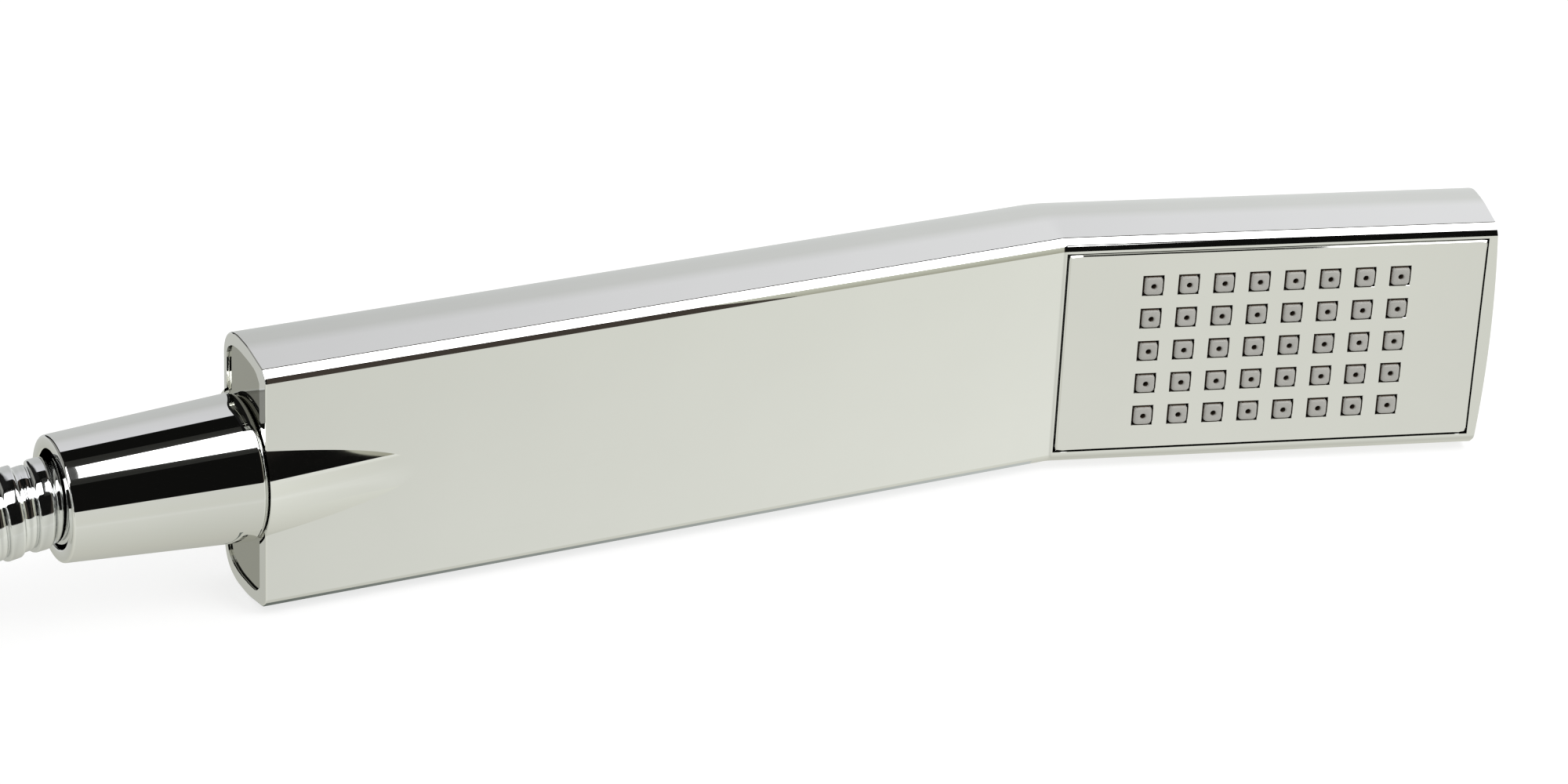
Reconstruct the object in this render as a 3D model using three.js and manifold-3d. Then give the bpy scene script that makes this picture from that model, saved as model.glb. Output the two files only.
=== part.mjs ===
// A flat, angled hand shower with a square-windowed spray face, its conical
// hose nut, and a metal hose tied into a hank beside it.
// Millimetres. The handset lies on one long narrow side: the handle runs along
// +X from its tail, the spray face looks towards -Y, and +Z is up.

import * as THREE from 'three';
import { mergeVertices } from 'three/addons/utils/BufferGeometryUtils.js';
import Module from 'manifold-3d';

const wasm = await Module();
wasm.setup();

// ---------------------------------------------------------------- driving sizes

const GAP = 0.3;                 // between pieces that touch
const WASHER_THICKNESS = 2;

// Handset: a slab with a soft-sided section, bent once towards its spray side.
const THICKNESS = 18.6;          // front face to rear face
const HALF_WIDTH = 22.1;         // middle plane to the long narrow side
const HANDLE_LENGTH = 143.2;     // tail to the bend, on the front face
const HEAD_LENGTH = 77.1;        // bend to the end of the head
const BEND = THREE.MathUtils.degToRad(15.5);
const BEND_RADIUS = 3.2;         // on the front face, the inside of the bend
const END_RADIUS = 240;          // the head's end is a shallow arc
const END_ROUND = 4.5;           // round from the head's end to the rear face

// Half of the outer section, from the edge of the flat front to the rear round.
// Each step keeps or turns the tilt of the surface, in degrees from the front:
// a line has a length, an arc a radius, the tilt it reaches and its facets.
const EDGE_TILT = 14;            // a crease ends the flat front
const SECTION = [
  { radius: 2.05, tilt: 48, facets: 2 },
  { length: 1.15 },
  { radius: 0.6, tilt: 80, facets: 1 },
  { length: 4.9 },
  { radius: 18, tilt: 90, facets: 1 },
  { length: 2 },                 // the flat strip that the handset lies on
  { radius: 10, tilt: 112, facets: 2 },
  { radius: 5.01, tilt: 180, facets: 3 },
];

// Walls of the handset. The hollow is drawn as depth and half width.
const FRONT_WALL = 2.7;
const REAR_WALL = 1.5;
const END_WALL = 2.2;
const HOLLOW = [
  [FRONT_WALL, 18], [3.6, 18.9], [5, 19.6], [8, 19.85], [11, 19.95], [14, 19.7],
  [16, 19], [THICKNESS - REAR_WALL, 17.4],
];

// Neck: the round boss at the tail, which fades into both faces as a fairing.
const NECK_DEPTH = 10.4;
const FAIRING_RADIUS = 12.8;
const FRONT_FAIRING = 26;        // length until the boss has sunk into the face
const REAR_FAIRING = 36;
const NOSE_RADIUS = 12.35;       // the shallow seat that the hose nut fills
const NECK_BORE = 11.3;
const NECK_BORE_DEPTH = 5.1;
const PLATE_FRONT = 0.6;         // the tail plate lies this far inside the rim
const PLATE_THICKNESS = 2.2;

// Hose nut.
const NUT_BIG = 12.05;
const NUT_SMALL = 10.2;
const NUT_LENGTH = 31.8;
const NUT_INNER_END = PLATE_FRONT - GAP;
const NUT_OUTER_END = NUT_INNER_END - NUT_LENGTH;
const THREAD_RADIUS = 10.2;      // the G 1/2 spigot, without its thread
const SPIGOT_OUTER_END = -10.5;

// Spray face.
const COLUMNS = 8;
const ROWS = 5;
const PITCH = 6.25;              // along the head
const ROW_PITCH = 6.1;           // across it
const WINDOW = 3.65;
const GRID_CENTRE = 37.7;        // from the bend
const PLATE_START = 0.86;
const PLATE_END = 74.63;
const PLATE_HALF = 18.3;
const FACE_THICKNESS = 1.6;
const OPENING_START = 0.38;
const OPENING_END = 74.9;
const OPENING_HALF = 18.6;

// Hose, and the tied hank that stores its length in front of the neck's line:
// long turns on top of each other, with straight sides and round folds.
const HOSE_RADIUS = 7.2;
const HOSE_START = -24.3;
const HANK_START = -113;         // the first turn's beginning, in line with the neck
const HANK_STRAIGHT = 124;
const FOLD_RADIUS = 44;
const HANK_LIFT = 1.3;           // the turns lie on their ties
const LAYER = 2 * HOSE_RADIUS + 0.5;
const CLIMB = THREE.MathUtils.degToRad(130);   // of the fold where a turn climbs
const SUPPLY_NUT_RADIUS = 12;
const SUPPLY_LIFT = SUPPLY_NUT_RADIUS - HOSE_RADIUS + GAP;
const SUPPLY_RUN = 66;           // of the top turn's last straight side
const SUPPLY_RISE = 45;
const NEAR_TIE = -173;
const FAR_TIE = -219;

// The route from the hose nut to the hank, as distance from the tail and height
// above the floor: out along the neck, down in a soft S, then flat.
const RUN_IN = [
  [-24.3, 22.1], [-28, 22.07], [-31.5, 21.89], [-35, 21.55], [-39, 20.96],
  [-43, 20.15], [-47, 19.13], [-51, 17.85], [-57, 15.91], [-63, 13.98],
  [-67, 12.7], [-73, 10.98], [-79, 9.72], [-85, 8.92], [-91, 8.56],
  [-97, 8.5], [-105, 8.5], [HANK_START, 8.5],
];

// ---------------------------------------------------------------- materials

const finish = (color, roughness, metalness) =>
  new THREE.MeshStandardMaterial({ color, roughness, metalness });

const chrome = finish(0xd9dad6, 0.06, 1);
const steel = finish(0xc3c5c6, 0.18, 1);
const brass = finish(0xb89a55, 0.3, 1);
const greyInsert = finish(0x6f6f68, 0.22, 0.3);
const whitePlastic = finish(0xd8d8d2, 0.45, 0);
const silicone = finish(0xb4b2aa, 0.55, 0);
const rubber = finish(0x1f2022, 0.8, 0);
const tieStrap = finish(0x4b4e52, 0.7, 0);

// ---------------------------------------------------------------- solids

function solid(geometry) {
  const bare = geometry.clone();
  bare.deleteAttribute('normal');
  bare.deleteAttribute('uv');
  const merged = mergeVertices(bare, 1e-4);
  return new wasm.Manifold(new wasm.Mesh({
    numProp: 3,
    vertProperties: new Float32Array(merged.attributes.position.array),
    triVerts: new Uint32Array(merged.index.array),
  }));
}

function geometryOf(manifold) {
  const mesh = manifold.getMesh();
  const geometry = new THREE.BufferGeometry();
  geometry.setAttribute('position', new THREE.BufferAttribute(mesh.vertProperties, 3));
  geometry.setIndex(new THREE.BufferAttribute(mesh.triVerts, 1));
  geometry.computeVertexNormals();
  return geometry;
}

// A closed skin through loops of equally many points. The outline is the loops'
// shape in the plane (u, v), and the loops follow each other along u x v.
function loft(loops, outline) {
  if (THREE.ShapeUtils.area(outline) < 0) {
    return loft(loops.map((loop) => [...loop].reverse()), [...outline].reverse());
  }
  const count = outline.length;
  const faces = [];
  for (let i = 0; i + 1 < loops.length; i += 1) {
    for (let j = 0; j < count; j += 1) {
      const a = i * count + j;
      const b = i * count + ((j + 1) % count);
      faces.push(a, b, a + count, b, b + count, a + count);
    }
  }
  const last = (loops.length - 1) * count;
  for (const [a, b, c] of THREE.ShapeUtils.triangulateShape(outline, [])) {
    const turnsLeft = THREE.ShapeUtils.area([outline[a], outline[b], outline[c]]) > 0;
    const [p, q] = turnsLeft ? [b, c] : [c, b];
    faces.push(a, q, p);
    faces.push(last + a, last + p, last + q);
  }
  const geometry = new THREE.BufferGeometry().setFromPoints(loops.flat());
  geometry.setIndex(faces);
  geometry.computeVertexNormals();
  return geometry;
}

// A revolved piece along X, from the [x, radius] corners of its section.
function turned(profile, segments = 40) {
  const points = profile.map(([x, radius]) => new THREE.Vector2(radius, x));
  if (THREE.ShapeUtils.area(points) < 0) {
    points.reverse();
  }
  points.push(points[0].clone());
  const geometry = new THREE.LatheGeometry(points, segments);
  geometry.rotateZ(-Math.PI / 2);
  return geometry;
}

function drum(x0, x1, radius, segments = 48) {
  const geometry = new THREE.CylinderGeometry(radius, radius, x1 - x0, segments);
  geometry.rotateZ(-Math.PI / 2);
  geometry.translate((x0 + x1) / 2, NECK_DEPTH, 0);
  return geometry;
}

function block(min, max) {
  const size = new THREE.Vector3().subVectors(max, min);
  const geometry = new THREE.BoxGeometry(size.x, size.y, size.z);
  geometry.translate((min.x + max.x) / 2, (min.y + max.y) / 2, (min.z + max.z) / 2);
  return geometry;
}

// A flat piece drawn as length and width, with its thickness along the depth.
function slab(shape, front, thickness) {
  const geometry = new THREE.ExtrudeGeometry(shape, {
    depth: thickness, bevelEnabled: false, curveSegments: 6,
  });
  geometry.rotateX(Math.PI / 2);
  geometry.translate(0, front + thickness, 0);
  return geometry;
}

// The outline of a rectangle with round corners, anticlockwise.
function roundedOutline(x0, x1, half, radius, steps = 3) {
  const centres = [
    [x1 - radius, half - radius], [x0 + radius, half - radius],
    [x0 + radius, radius - half], [x1 - radius, radius - half],
  ];
  const points = [];
  centres.forEach(([x, y], quarter) => {
    for (let i = 0; i <= steps; i += 1) {
      const turn = (Math.PI / 2) * (quarter + i / steps);
      points.push(new THREE.Vector2(x + radius * Math.cos(turn), y + radius * Math.sin(turn)));
    }
  });
  return points;
}

function circleOutline(x, y, radius, steps) {
  const points = [];
  for (let i = 0; i < steps; i += 1) {
    const turn = (i / steps) * Math.PI * 2;
    points.push(new THREE.Vector2(x + radius * Math.cos(turn), y + radius * Math.sin(turn)));
  }
  return points;
}

function holed(outline, holes) {
  const shape = new THREE.Shape(outline);
  shape.holes.push(...holes.map((points) => new THREE.Path([...points].reverse())));
  return shape;
}

// A slab with holes of the given outlines cut right through it.
function pierced(outline, holes, front, thickness) {
  const cuts = holes.map((points) => (
    solid(slab(new THREE.Shape(points), front - 1, thickness + 2))
  ));
  return solid(slab(new THREE.Shape(outline), front, thickness))
    .subtract(wasm.Manifold.union(cuts));
}

// ---------------------------------------------------------------- the handset

// The outline across the handle, as (depth, width) points.
function outerSection() {
  const half = [[0, 0]];
  let tilt = THREE.MathUtils.degToRad(EDGE_TILT);
  const advance = (depth, width) => {
    const [lastDepth, lastWidth] = half.at(-1);
    half.push([lastDepth + depth, lastWidth + width]);
  };
  for (const step of SECTION) {
    if (step.length) {
      advance(step.length * Math.sin(tilt), step.length * Math.cos(tilt));
      continue;
    }
    const turn = (THREE.MathUtils.degToRad(step.tilt) - tilt) / step.facets;
    for (let i = 0; i < step.facets; i += 1) {
      advance(
        step.radius * (Math.cos(tilt) - Math.cos(tilt + turn)),
        step.radius * (Math.sin(tilt + turn) - Math.sin(tilt)),
      );
      tilt += turn;
    }
  }
  const frontHalf = HALF_WIDTH - Math.max(...half.map(([, width]) => width));
  return mirrored(half.map(([depth, width]) => [depth, width + frontHalf]));
}

// A closed section from the points of its upper half.
function mirrored(half) {
  return [...half, ...half.map(([depth, width]) => [depth, -width]).reverse()];
}

// A section carried along the handle, round the bend and along the head.
function bentSweep(section, start, headEnd) {
  const tangent = BEND_RADIUS * Math.tan(BEND / 2);
  const bendStart = HANDLE_LENGTH - tangent;
  const loops = [section.map(([depth, width]) => new THREE.Vector3(start, depth, width))];
  const steps = 3;
  for (let i = 0; i <= steps; i += 1) {
    const turn = BEND * (i / steps);
    loops.push(section.map(([depth, width]) => new THREE.Vector3(
      bendStart + (BEND_RADIUS + depth) * Math.sin(turn),
      (BEND_RADIUS + depth) * Math.cos(turn) - BEND_RADIUS,
      width,
    )));
  }
  loops.push(section.map(([depth, width]) => inHead(headEnd, depth, width)));
  return loft(loops, section.map(([depth, width]) => new THREE.Vector2(depth, width)));
}

function inHead(along, depth, width) {
  return new THREE.Vector3(
    HANDLE_LENGTH + along * Math.cos(BEND) + depth * Math.sin(BEND),
    depth * Math.cos(BEND) - along * Math.sin(BEND),
    width,
  );
}

const headPlacement = new THREE.Matrix4()
  .makeTranslation(HANDLE_LENGTH, 0, 0)
  .multiply(new THREE.Matrix4().makeRotationZ(-BEND));

// What is kept of the head: its end is an arc in plan, and rounded at the rear.
function endTrim() {
  const margin = 2;
  const reach = HALF_WIDTH + margin;
  const arc = Math.asin(reach / END_RADIUS);
  const plan = [new THREE.Vector2(-THICKNESS, reach), new THREE.Vector2(-THICKNESS, -reach)];
  const steps = 8;
  for (let i = 0; i <= steps; i += 1) {
    const turn = arc * ((2 * i) / steps - 1);
    plan.push(new THREE.Vector2(
      HEAD_LENGTH - END_RADIUS * (1 - Math.cos(turn)), END_RADIUS * Math.sin(turn),
    ));
  }
  const planSolid = slab(new THREE.Shape(plan), -margin, THICKNESS + 2 * margin);
  const side = [
    new THREE.Vector2(-THICKNESS, THICKNESS + margin), new THREE.Vector2(-THICKNESS, -margin),
    new THREE.Vector2(HEAD_LENGTH, -margin),
  ];
  const roundSteps = 4;
  for (let i = 0; i <= roundSteps; i += 1) {
    const turn = (Math.PI / 2) * (i / roundSteps);
    side.push(new THREE.Vector2(
      HEAD_LENGTH - END_ROUND * (1 - Math.cos(turn)),
      THICKNESS - END_ROUND * (1 - Math.sin(turn)),
    ));
  }
  side.push(new THREE.Vector2(HEAD_LENGTH - END_ROUND, THICKNESS + margin));
  const sideSolid = new THREE.ExtrudeGeometry(new THREE.Shape(side), {
    depth: 2 * reach, bevelEnabled: false,
  });
  sideSolid.translate(0, 0, -reach);
  const handle = block(
    new THREE.Vector3(-HANDLE_LENGTH - THICKNESS, -HANDLE_LENGTH, -reach),
    new THREE.Vector3(0, HANDLE_LENGTH, reach),
  );
  return solid(planSolid).intersect(solid(sideSolid)).add(solid(handle))
    .transform(headPlacement.elements);
}

// The neck's round boss, sinking into one face over the fairing's length.
function fairing(length, faceDistance, towardsRear) {
  const sink = (FAIRING_RADIUS - faceDistance) / length;
  const boss = new THREE.CylinderGeometry(FAIRING_RADIUS, FAIRING_RADIUS, 3 * length, 56);
  boss.rotateZ(-Math.PI / 2);
  boss.rotateZ((towardsRear ? -1 : 1) * Math.atan(sink));
  boss.translate(0, NECK_DEPTH, 0);
  const half = FAIRING_RADIUS + 1;
  const kept = block(
    new THREE.Vector3(0, towardsRear ? NECK_DEPTH : NECK_DEPTH - 2 * half, -half),
    new THREE.Vector3(length + 1, towardsRear ? NECK_DEPTH + 2 * half : NECK_DEPTH, half),
  );
  return solid(boss).intersect(solid(kept));
}

function bodyShell() {
  const past = 1;                // cuts start this far outside
  const opening = block(
    new THREE.Vector3(OPENING_START, -2 * past, -OPENING_HALF),
    new THREE.Vector3(OPENING_END, FRONT_WALL + past / 2, OPENING_HALF),
  );
  opening.applyMatrix4(headPlacement);
  return geometryOf(
    solid(bentSweep(outerSection(), 0, HEAD_LENGTH + END_ROUND))
      .intersect(endTrim())
      .add(fairing(FRONT_FAIRING, NECK_DEPTH, false))
      .add(fairing(REAR_FAIRING, THICKNESS - NECK_DEPTH, true))
      .subtract(solid(bentSweep(mirrored(HOLLOW), -past, HEAD_LENGTH - END_WALL)))
      .subtract(solid(drum(-past, PLATE_FRONT, NOSE_RADIUS)))
      .subtract(solid(drum(-past, NECK_BORE_DEPTH, NECK_BORE)))
      .subtract(solid(opening)),
  );
}

// The grey insert that closes the tail, with a hole for the spigot.
function tailPlate() {
  const inset = mirrored(HOLLOW).map(([depth, width]) => [
    THREE.MathUtils.clamp(depth, FRONT_WALL + GAP, THICKNESS - REAR_WALL - GAP),
    width - Math.sign(width) * GAP,
  ]);
  const loops = [PLATE_FRONT, PLATE_FRONT + PLATE_THICKNESS].map(
    (x) => inset.map(([depth, width]) => new THREE.Vector3(x, depth, width)),
  );
  const sheet = loft(loops, inset.map(([depth, width]) => new THREE.Vector2(depth, width)));
  const end = PLATE_FRONT + PLATE_THICKNESS;
  return geometryOf(
    solid(sheet)
      .add(solid(drum(PLATE_FRONT, end, NECK_BORE - GAP)))
      .subtract(solid(drum(PLATE_FRONT - 1, end + 1, THREAD_RADIUS + GAP))),
  );
}

// ---------------------------------------------------------------- the water's way in

const SPIGOT_FLANGE = PLATE_FRONT + PLATE_THICKNESS + GAP;
const SPIGOT_FLANGE_END = SPIGOT_FLANGE + 1.7;
const SPIGOT_BORE = 7.6;         // room for the flow regulator
const SPIGOT_TAIL_RADIUS = 6;
const SPIGOT_TAIL_END = 17;
const TUBE_OUTER = 3.2;
const TUBE_INNER = 2.4;
const TUBE_STOP = 9;             // the spigot's socket ends here
const TUBE_HEAD_DEPTH = 12.1;    // the channel lies deeper in the head
const SOCKET_RADIUS = TUBE_OUTER + 0.35;
const ORING_GROOVE = { start: 12, end: 13.4, radius: 4.8 };
const ORING = { radius: 4, thickness: 0.4 };

function inletSpigot() {
  const chamfer = 0.7;
  const regulatorSeat = -2.5;
  return turned([
    [SPIGOT_OUTER_END, SPIGOT_BORE], [SPIGOT_OUTER_END, THREAD_RADIUS - chamfer],
    [SPIGOT_OUTER_END + chamfer, THREAD_RADIUS], [SPIGOT_FLANGE, THREAD_RADIUS],
    [SPIGOT_FLANGE, NECK_BORE - GAP], [SPIGOT_FLANGE_END, NECK_BORE - GAP],
    [SPIGOT_FLANGE_END, SPIGOT_TAIL_RADIUS], [SPIGOT_TAIL_END, SPIGOT_TAIL_RADIUS],
    [SPIGOT_TAIL_END, SOCKET_RADIUS], [ORING_GROOVE.end, SOCKET_RADIUS],
    [ORING_GROOVE.end, ORING_GROOVE.radius], [ORING_GROOVE.start, ORING_GROOVE.radius],
    [ORING_GROOVE.start, SOCKET_RADIUS], [TUBE_STOP, SOCKET_RADIUS], [TUBE_STOP, TUBE_INNER],
    [regulatorSeat, TUBE_INNER], [regulatorSeat, SPIGOT_BORE],
  ], 20);
}

function inletOring() {
  const geometry = new THREE.TorusGeometry(ORING.radius, ORING.thickness, 6, 16);
  geometry.rotateY(Math.PI / 2);
  geometry.translate((ORING_GROOVE.start + ORING_GROOVE.end) / 2, 0, 0);
  return geometry;
}

// The flow regulator: a cup with a star of ports, pressed into the spigot.
function flowRegulator() {
  const count = 6;
  const portCircle = 4.7;
  const portRadius = 1.3;
  const ports = [];
  for (let i = 0; i < count; i += 1) {
    const turn = (i / count) * Math.PI * 2;
    ports.push(circleOutline(
      portCircle * Math.cos(turn), portCircle * Math.sin(turn), portRadius, 8,
    ));
  }
  const cup = holed(circleOutline(0, 0, SPIGOT_BORE - GAP, 24), ports);
  const geometry = new THREE.ExtrudeGeometry(cup, { depth: 4, bevelEnabled: false });
  geometry.rotateY(Math.PI / 2);
  geometry.translate(-7.1, 0, 0);
  return geometry;
}

function inletWasher() {
  const outer = SPIGOT_OUTER_END - GAP;
  const inner = outer - WASHER_THICKNESS;
  return turned([[outer, 6], [outer, 9.8], [inner, 9.8], [inner, 6]], 24);
}

// The channel from the spigot to the spray chamber, through the bend.
function waterwayTube() {
  const route = new THREE.CatmullRomCurve3([
    new THREE.Vector3(TUBE_STOP + GAP, NECK_DEPTH, 0),
    new THREE.Vector3(40, NECK_DEPTH, 0),
    new THREE.Vector3(80, NECK_DEPTH, 0),
    new THREE.Vector3(118, NECK_DEPTH, 0),
    inHead(-9, NECK_DEPTH + 1.2, 0),
    inHead(1.5, TUBE_HEAD_DEPTH - 0.05, 0),
    inHead(8.5, TUBE_HEAD_DEPTH, 0),
  ], false, 'centripetal');
  const ring = holed(circleOutline(0, 0, TUBE_OUTER, 10), [circleOutline(0, 0, TUBE_INNER, 10)]);
  return new THREE.ExtrudeGeometry(ring, { steps: 14, bevelEnabled: false, extrudePath: route });
}

// ---------------------------------------------------------------- the spray head

const MAT_FRONT = FACE_THICKNESS + GAP;
const MAT_THICKNESS = 1.2;
const NOZZLE_PROUD = 0.6;
const BASE_FRONT = MAT_FRONT + MAT_THICKNESS + GAP;
const BASE_THICKNESS = 3;
const SEAL_FRONT = BASE_FRONT + BASE_THICKNESS + GAP;
const SEAL_THICKNESS = 1;
const CHAMBER_FRONT = SEAL_FRONT + SEAL_THICKNESS + GAP;
const CHAMBER_REAR = THICKNESS - REAR_WALL - 2 * GAP;
const CHAMBER_HALF = 17.7;
const SCREW_ALONG = [7.5, 67.5];
const SCREW_WIDTH = [-15, 15];
const SCREW_HEAD_RADIUS = 2.5;
const SCREW_RADIUS = 1.4;
const SCREW_HOLE_RADIUS = SCREW_RADIUS + 0.35;

// Calls back for every spray hole with its place along and across the head.
function eachWindow(callback) {
  for (let row = 0; row < ROWS; row += 1) {
    for (let column = 0; column < COLUMNS; column += 1) {
      callback(
        GRID_CENTRE + (column - (COLUMNS - 1) / 2) * PITCH,
        (row - (ROWS - 1) / 2) * ROW_PITCH,
      );
    }
  }
}

function facePlate() {
  const windows = [];
  eachWindow((along, width) => {
    const half = WINDOW / 2;
    windows.push([
      new THREE.Vector2(along - half, width - half), new THREE.Vector2(along + half, width - half),
      new THREE.Vector2(along + half, width + half), new THREE.Vector2(along - half, width + half),
    ]);
  });
  const outline = roundedOutline(PLATE_START, PLATE_END, PLATE_HALF, 0.4, 2);
  return geometryOf(pierced(outline, windows, 0, FACE_THICKNESS));
}

// One soft nozzle: a square pad with cut corners, its hole right through.
function nozzleRing(along, width, half, cut) {
  return [
    [half, -cut], [half, cut], [cut, half], [-cut, half],
    [-half, cut], [-half, -cut], [-cut, -half], [cut, -half],
  ].map(([a, b]) => new THREE.Vector2(along + a, width + b));
}

function nozzleMat() {
  const holeRadius = 0.55;
  const foot = { half: 1.5, cut: 1.05 };
  const top = { half: 1.3, cut: 0.8 };
  const plate = new THREE.Shape(roundedOutline(2, 73, 17.6, 2));
  const pads = [];
  const drills = [];
  eachWindow((along, width) => {
    const levels = [[MAT_FRONT + MAT_THICKNESS / 2, foot], [-NOZZLE_PROUD, top]].map(
      ([depth, { half, cut }]) => nozzleRing(along, width, half, cut)
        .map((point) => new THREE.Vector3(point.x, depth, point.y)),
    );
    pads.push(solid(loft(levels, nozzleRing(along, width, foot.half, foot.cut))));
    const drill = new THREE.CylinderGeometry(holeRadius, holeRadius, 4 * MAT_FRONT, 5);
    drill.translate(along, MAT_FRONT, width);
    drills.push(solid(drill));
  });
  const sheet = solid(slab(plate, MAT_FRONT, MAT_THICKNESS));
  return geometryOf(
    wasm.Manifold.union([sheet, ...pads]).subtract(wasm.Manifold.union(drills)),
  );
}

function screwHoles(radius) {
  return SCREW_ALONG.flatMap(
    (along) => SCREW_WIDTH.map((width) => circleOutline(along, width, radius, 16)),
  );
}

// The distributor: a way through for each nozzle, and sunk screw seats.
function sprayBase() {
  const outline = roundedOutline(1, 74, 18.2, 1);
  const portRadius = 1;
  const ports = [];
  eachWindow((along, width) => ports.push(circleOutline(along, width, portRadius, 4)));
  const seatDepth = 1.8;
  const seats = screwHoles(SCREW_HEAD_RADIUS + 0.4).map((points) => (
    solid(slab(new THREE.Shape(points), BASE_FRONT - 1, seatDepth + 1))
  ));
  return geometryOf(
    pierced(outline, [...screwHoles(SCREW_HOLE_RADIUS), ...ports], BASE_FRONT, BASE_THICKNESS)
      .subtract(wasm.Manifold.union(seats)),
  );
}

function chamberSeal() {
  const inner = roundedOutline(11.9, 63.1, 15.8, 1.2);
  const outer = roundedOutline(10.5, 64.5, 17.2, 2);
  return geometryOf(pierced(outer, [inner], SEAL_FRONT, SEAL_THICKNESS));
}

// The chamber behind the spray base: a tray with a socket for the channel.
function waterChamber() {
  const depth = CHAMBER_REAR - CHAMBER_FRONT;
  const tray = new THREE.Shape(roundedOutline(4, 73, CHAMBER_HALF, 2));
  const room = new THREE.Shape(roundedOutline(12.2, 62.8, 15.5, 1.5));
  const pilots = screwHoles(SCREW_HOLE_RADIUS).map((points) => (
    solid(slab(new THREE.Shape(points), CHAMBER_FRONT - 1, 8))
  ));
  const socket = drum(1, 9.8, SOCKET_RADIUS + 0.1, 24);
  const way = drum(6, 14, TUBE_INNER, 20);
  for (const bore of [socket, way]) {
    bore.translate(0, TUBE_HEAD_DEPTH - NECK_DEPTH, 0);
  }
  return geometryOf(
    solid(slab(tray, CHAMBER_FRONT, depth))
      .subtract(solid(slab(room, CHAMBER_FRONT - 1, depth - 0.5)))
      .subtract(wasm.Manifold.union(pilots))
      .subtract(solid(socket))
      .subtract(solid(way)),
  );
}

function faceScrew() {
  const top = BASE_FRONT + GAP;
  const underHead = top + 1.2;
  const end = top + 8.8;
  const profile = [
    [top, 0], [top, 1.9], [top + 0.4, SCREW_HEAD_RADIUS], [underHead, SCREW_HEAD_RADIUS],
    [underHead, SCREW_RADIUS], [end - 0.8, SCREW_RADIUS], [end, 0.6], [end, 0],
  ].map(([depth, radius]) => new THREE.Vector2(radius, depth));
  return new THREE.LatheGeometry(profile, 10);
}

// ---------------------------------------------------------------- hose and its ends

// The cone that screws on the spigot: thread room, then the hose tail's seat.
function coneNut() {
  const rounding = 0.8;          // of the small end
  const bore = 8;                // for the hose
  const room = 10.1;             // for the hose tail's collar
  const thread = THREAD_RADIUS + GAP;
  return turned([
    [NUT_INNER_END, thread + 0.2], [NUT_INNER_END, NUT_BIG - 0.2],
    [NUT_INNER_END - 0.2, NUT_BIG], [NUT_OUTER_END + rounding, NUT_SMALL],
    [NUT_OUTER_END + 0.3 * rounding, NUT_SMALL - 0.3 * rounding],
    [NUT_OUTER_END, NUT_SMALL - rounding], [NUT_OUTER_END, bore + 0.3],
    [NUT_OUTER_END + 0.4, bore], [-15.9, bore], [-15.9, room], [-10.9, room],
    [-10.4, thread], [-0.6, thread],
  ], 36);
}

// The hose end: a collar that the washer seals on, and a stem into the hose.
function hoseTail() {
  const collar = SPIGOT_OUTER_END - WASHER_THICKNESS - 2 * GAP;
  return turned([
    [collar, 3], [collar, 9.8], [collar - 2.5, 9.8], [collar - 2.5, 4.2],
    [HOSE_START + GAP, 4.2], [HOSE_START + GAP, 3],
  ], 24);
}

function hoseFerrule() {
  return turned([
    [-16.2, 4.5], [-16.2, 7.7], [-22.6, 7.7], [-23, 7.3], [HOSE_START + GAP, 7.3],
    [HOSE_START + GAP, 4.5],
  ], 24);
}

function tubeAlong(points, steps, sides = 10) {
  const route = new THREE.CatmullRomCurve3(points, false, 'centripetal');
  return new THREE.ExtrudeGeometry(new THREE.Shape(circleOutline(0, 0, HOSE_RADIUS, sides)), {
    steps, bevelEnabled: false, extrudePath: route,
  });
}

function hoseRun() {
  return tubeAlong(RUN_IN.map(([x, height]) => new THREE.Vector3(x, 0, height)), 18, 12);
}

const ease = (t) => t * t * (3 - 2 * t);
const eased = (t) => ease(THREE.MathUtils.clamp(t, 0, 1));

// A fold's points from its first to its last angle, about its centre.
function fold(centreX, from, steps, heightAt) {
  const points = [];
  for (let i = 1; i < steps; i += 1) {
    const turn = Math.PI * (i / steps);
    points.push(new THREE.Vector3(
      centreX + FOLD_RADIUS * Math.cos(from + turn),
      FOLD_RADIUS * (Math.sin(from + turn) - 1),
      heightAt(turn),
    ));
  }
  return points;
}

// A straight side, with points close to its ends to keep it straight.
function side(from, to, y, height) {
  const inset = 6 * Math.sign(to - from);
  return [from, from + inset, (from + to) / 2, to - inset, to].map(
    (x) => new THREE.Vector3(x, y, height),
  );
}

// One turn of the hank from the near side's right end: near side, left fold, far
// side, and the right fold, where it climbs onto the turn's own beginning.
function hankTurn(layer) {
  const height = HANK_LIFT + HOSE_RADIUS + layer * LAYER;
  const left = HANK_START - HANK_STRAIGHT;
  const far = -2 * FOLD_RADIUS;
  return [
    ...side(HANK_START - GAP, left, 0, height),
    ...fold(left, Math.PI / 2, 9, () => height),
    ...side(left, HANK_START, far, height),
    ...fold(HANK_START, -Math.PI / 2, 9, (turn) => height + LAYER * eased(turn / CLIMB)),
    new THREE.Vector3(HANK_START + 2, 0, height + LAYER),
    new THREE.Vector3(HANK_START + GAP, 0, height + LAYER),
  ];
}

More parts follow.
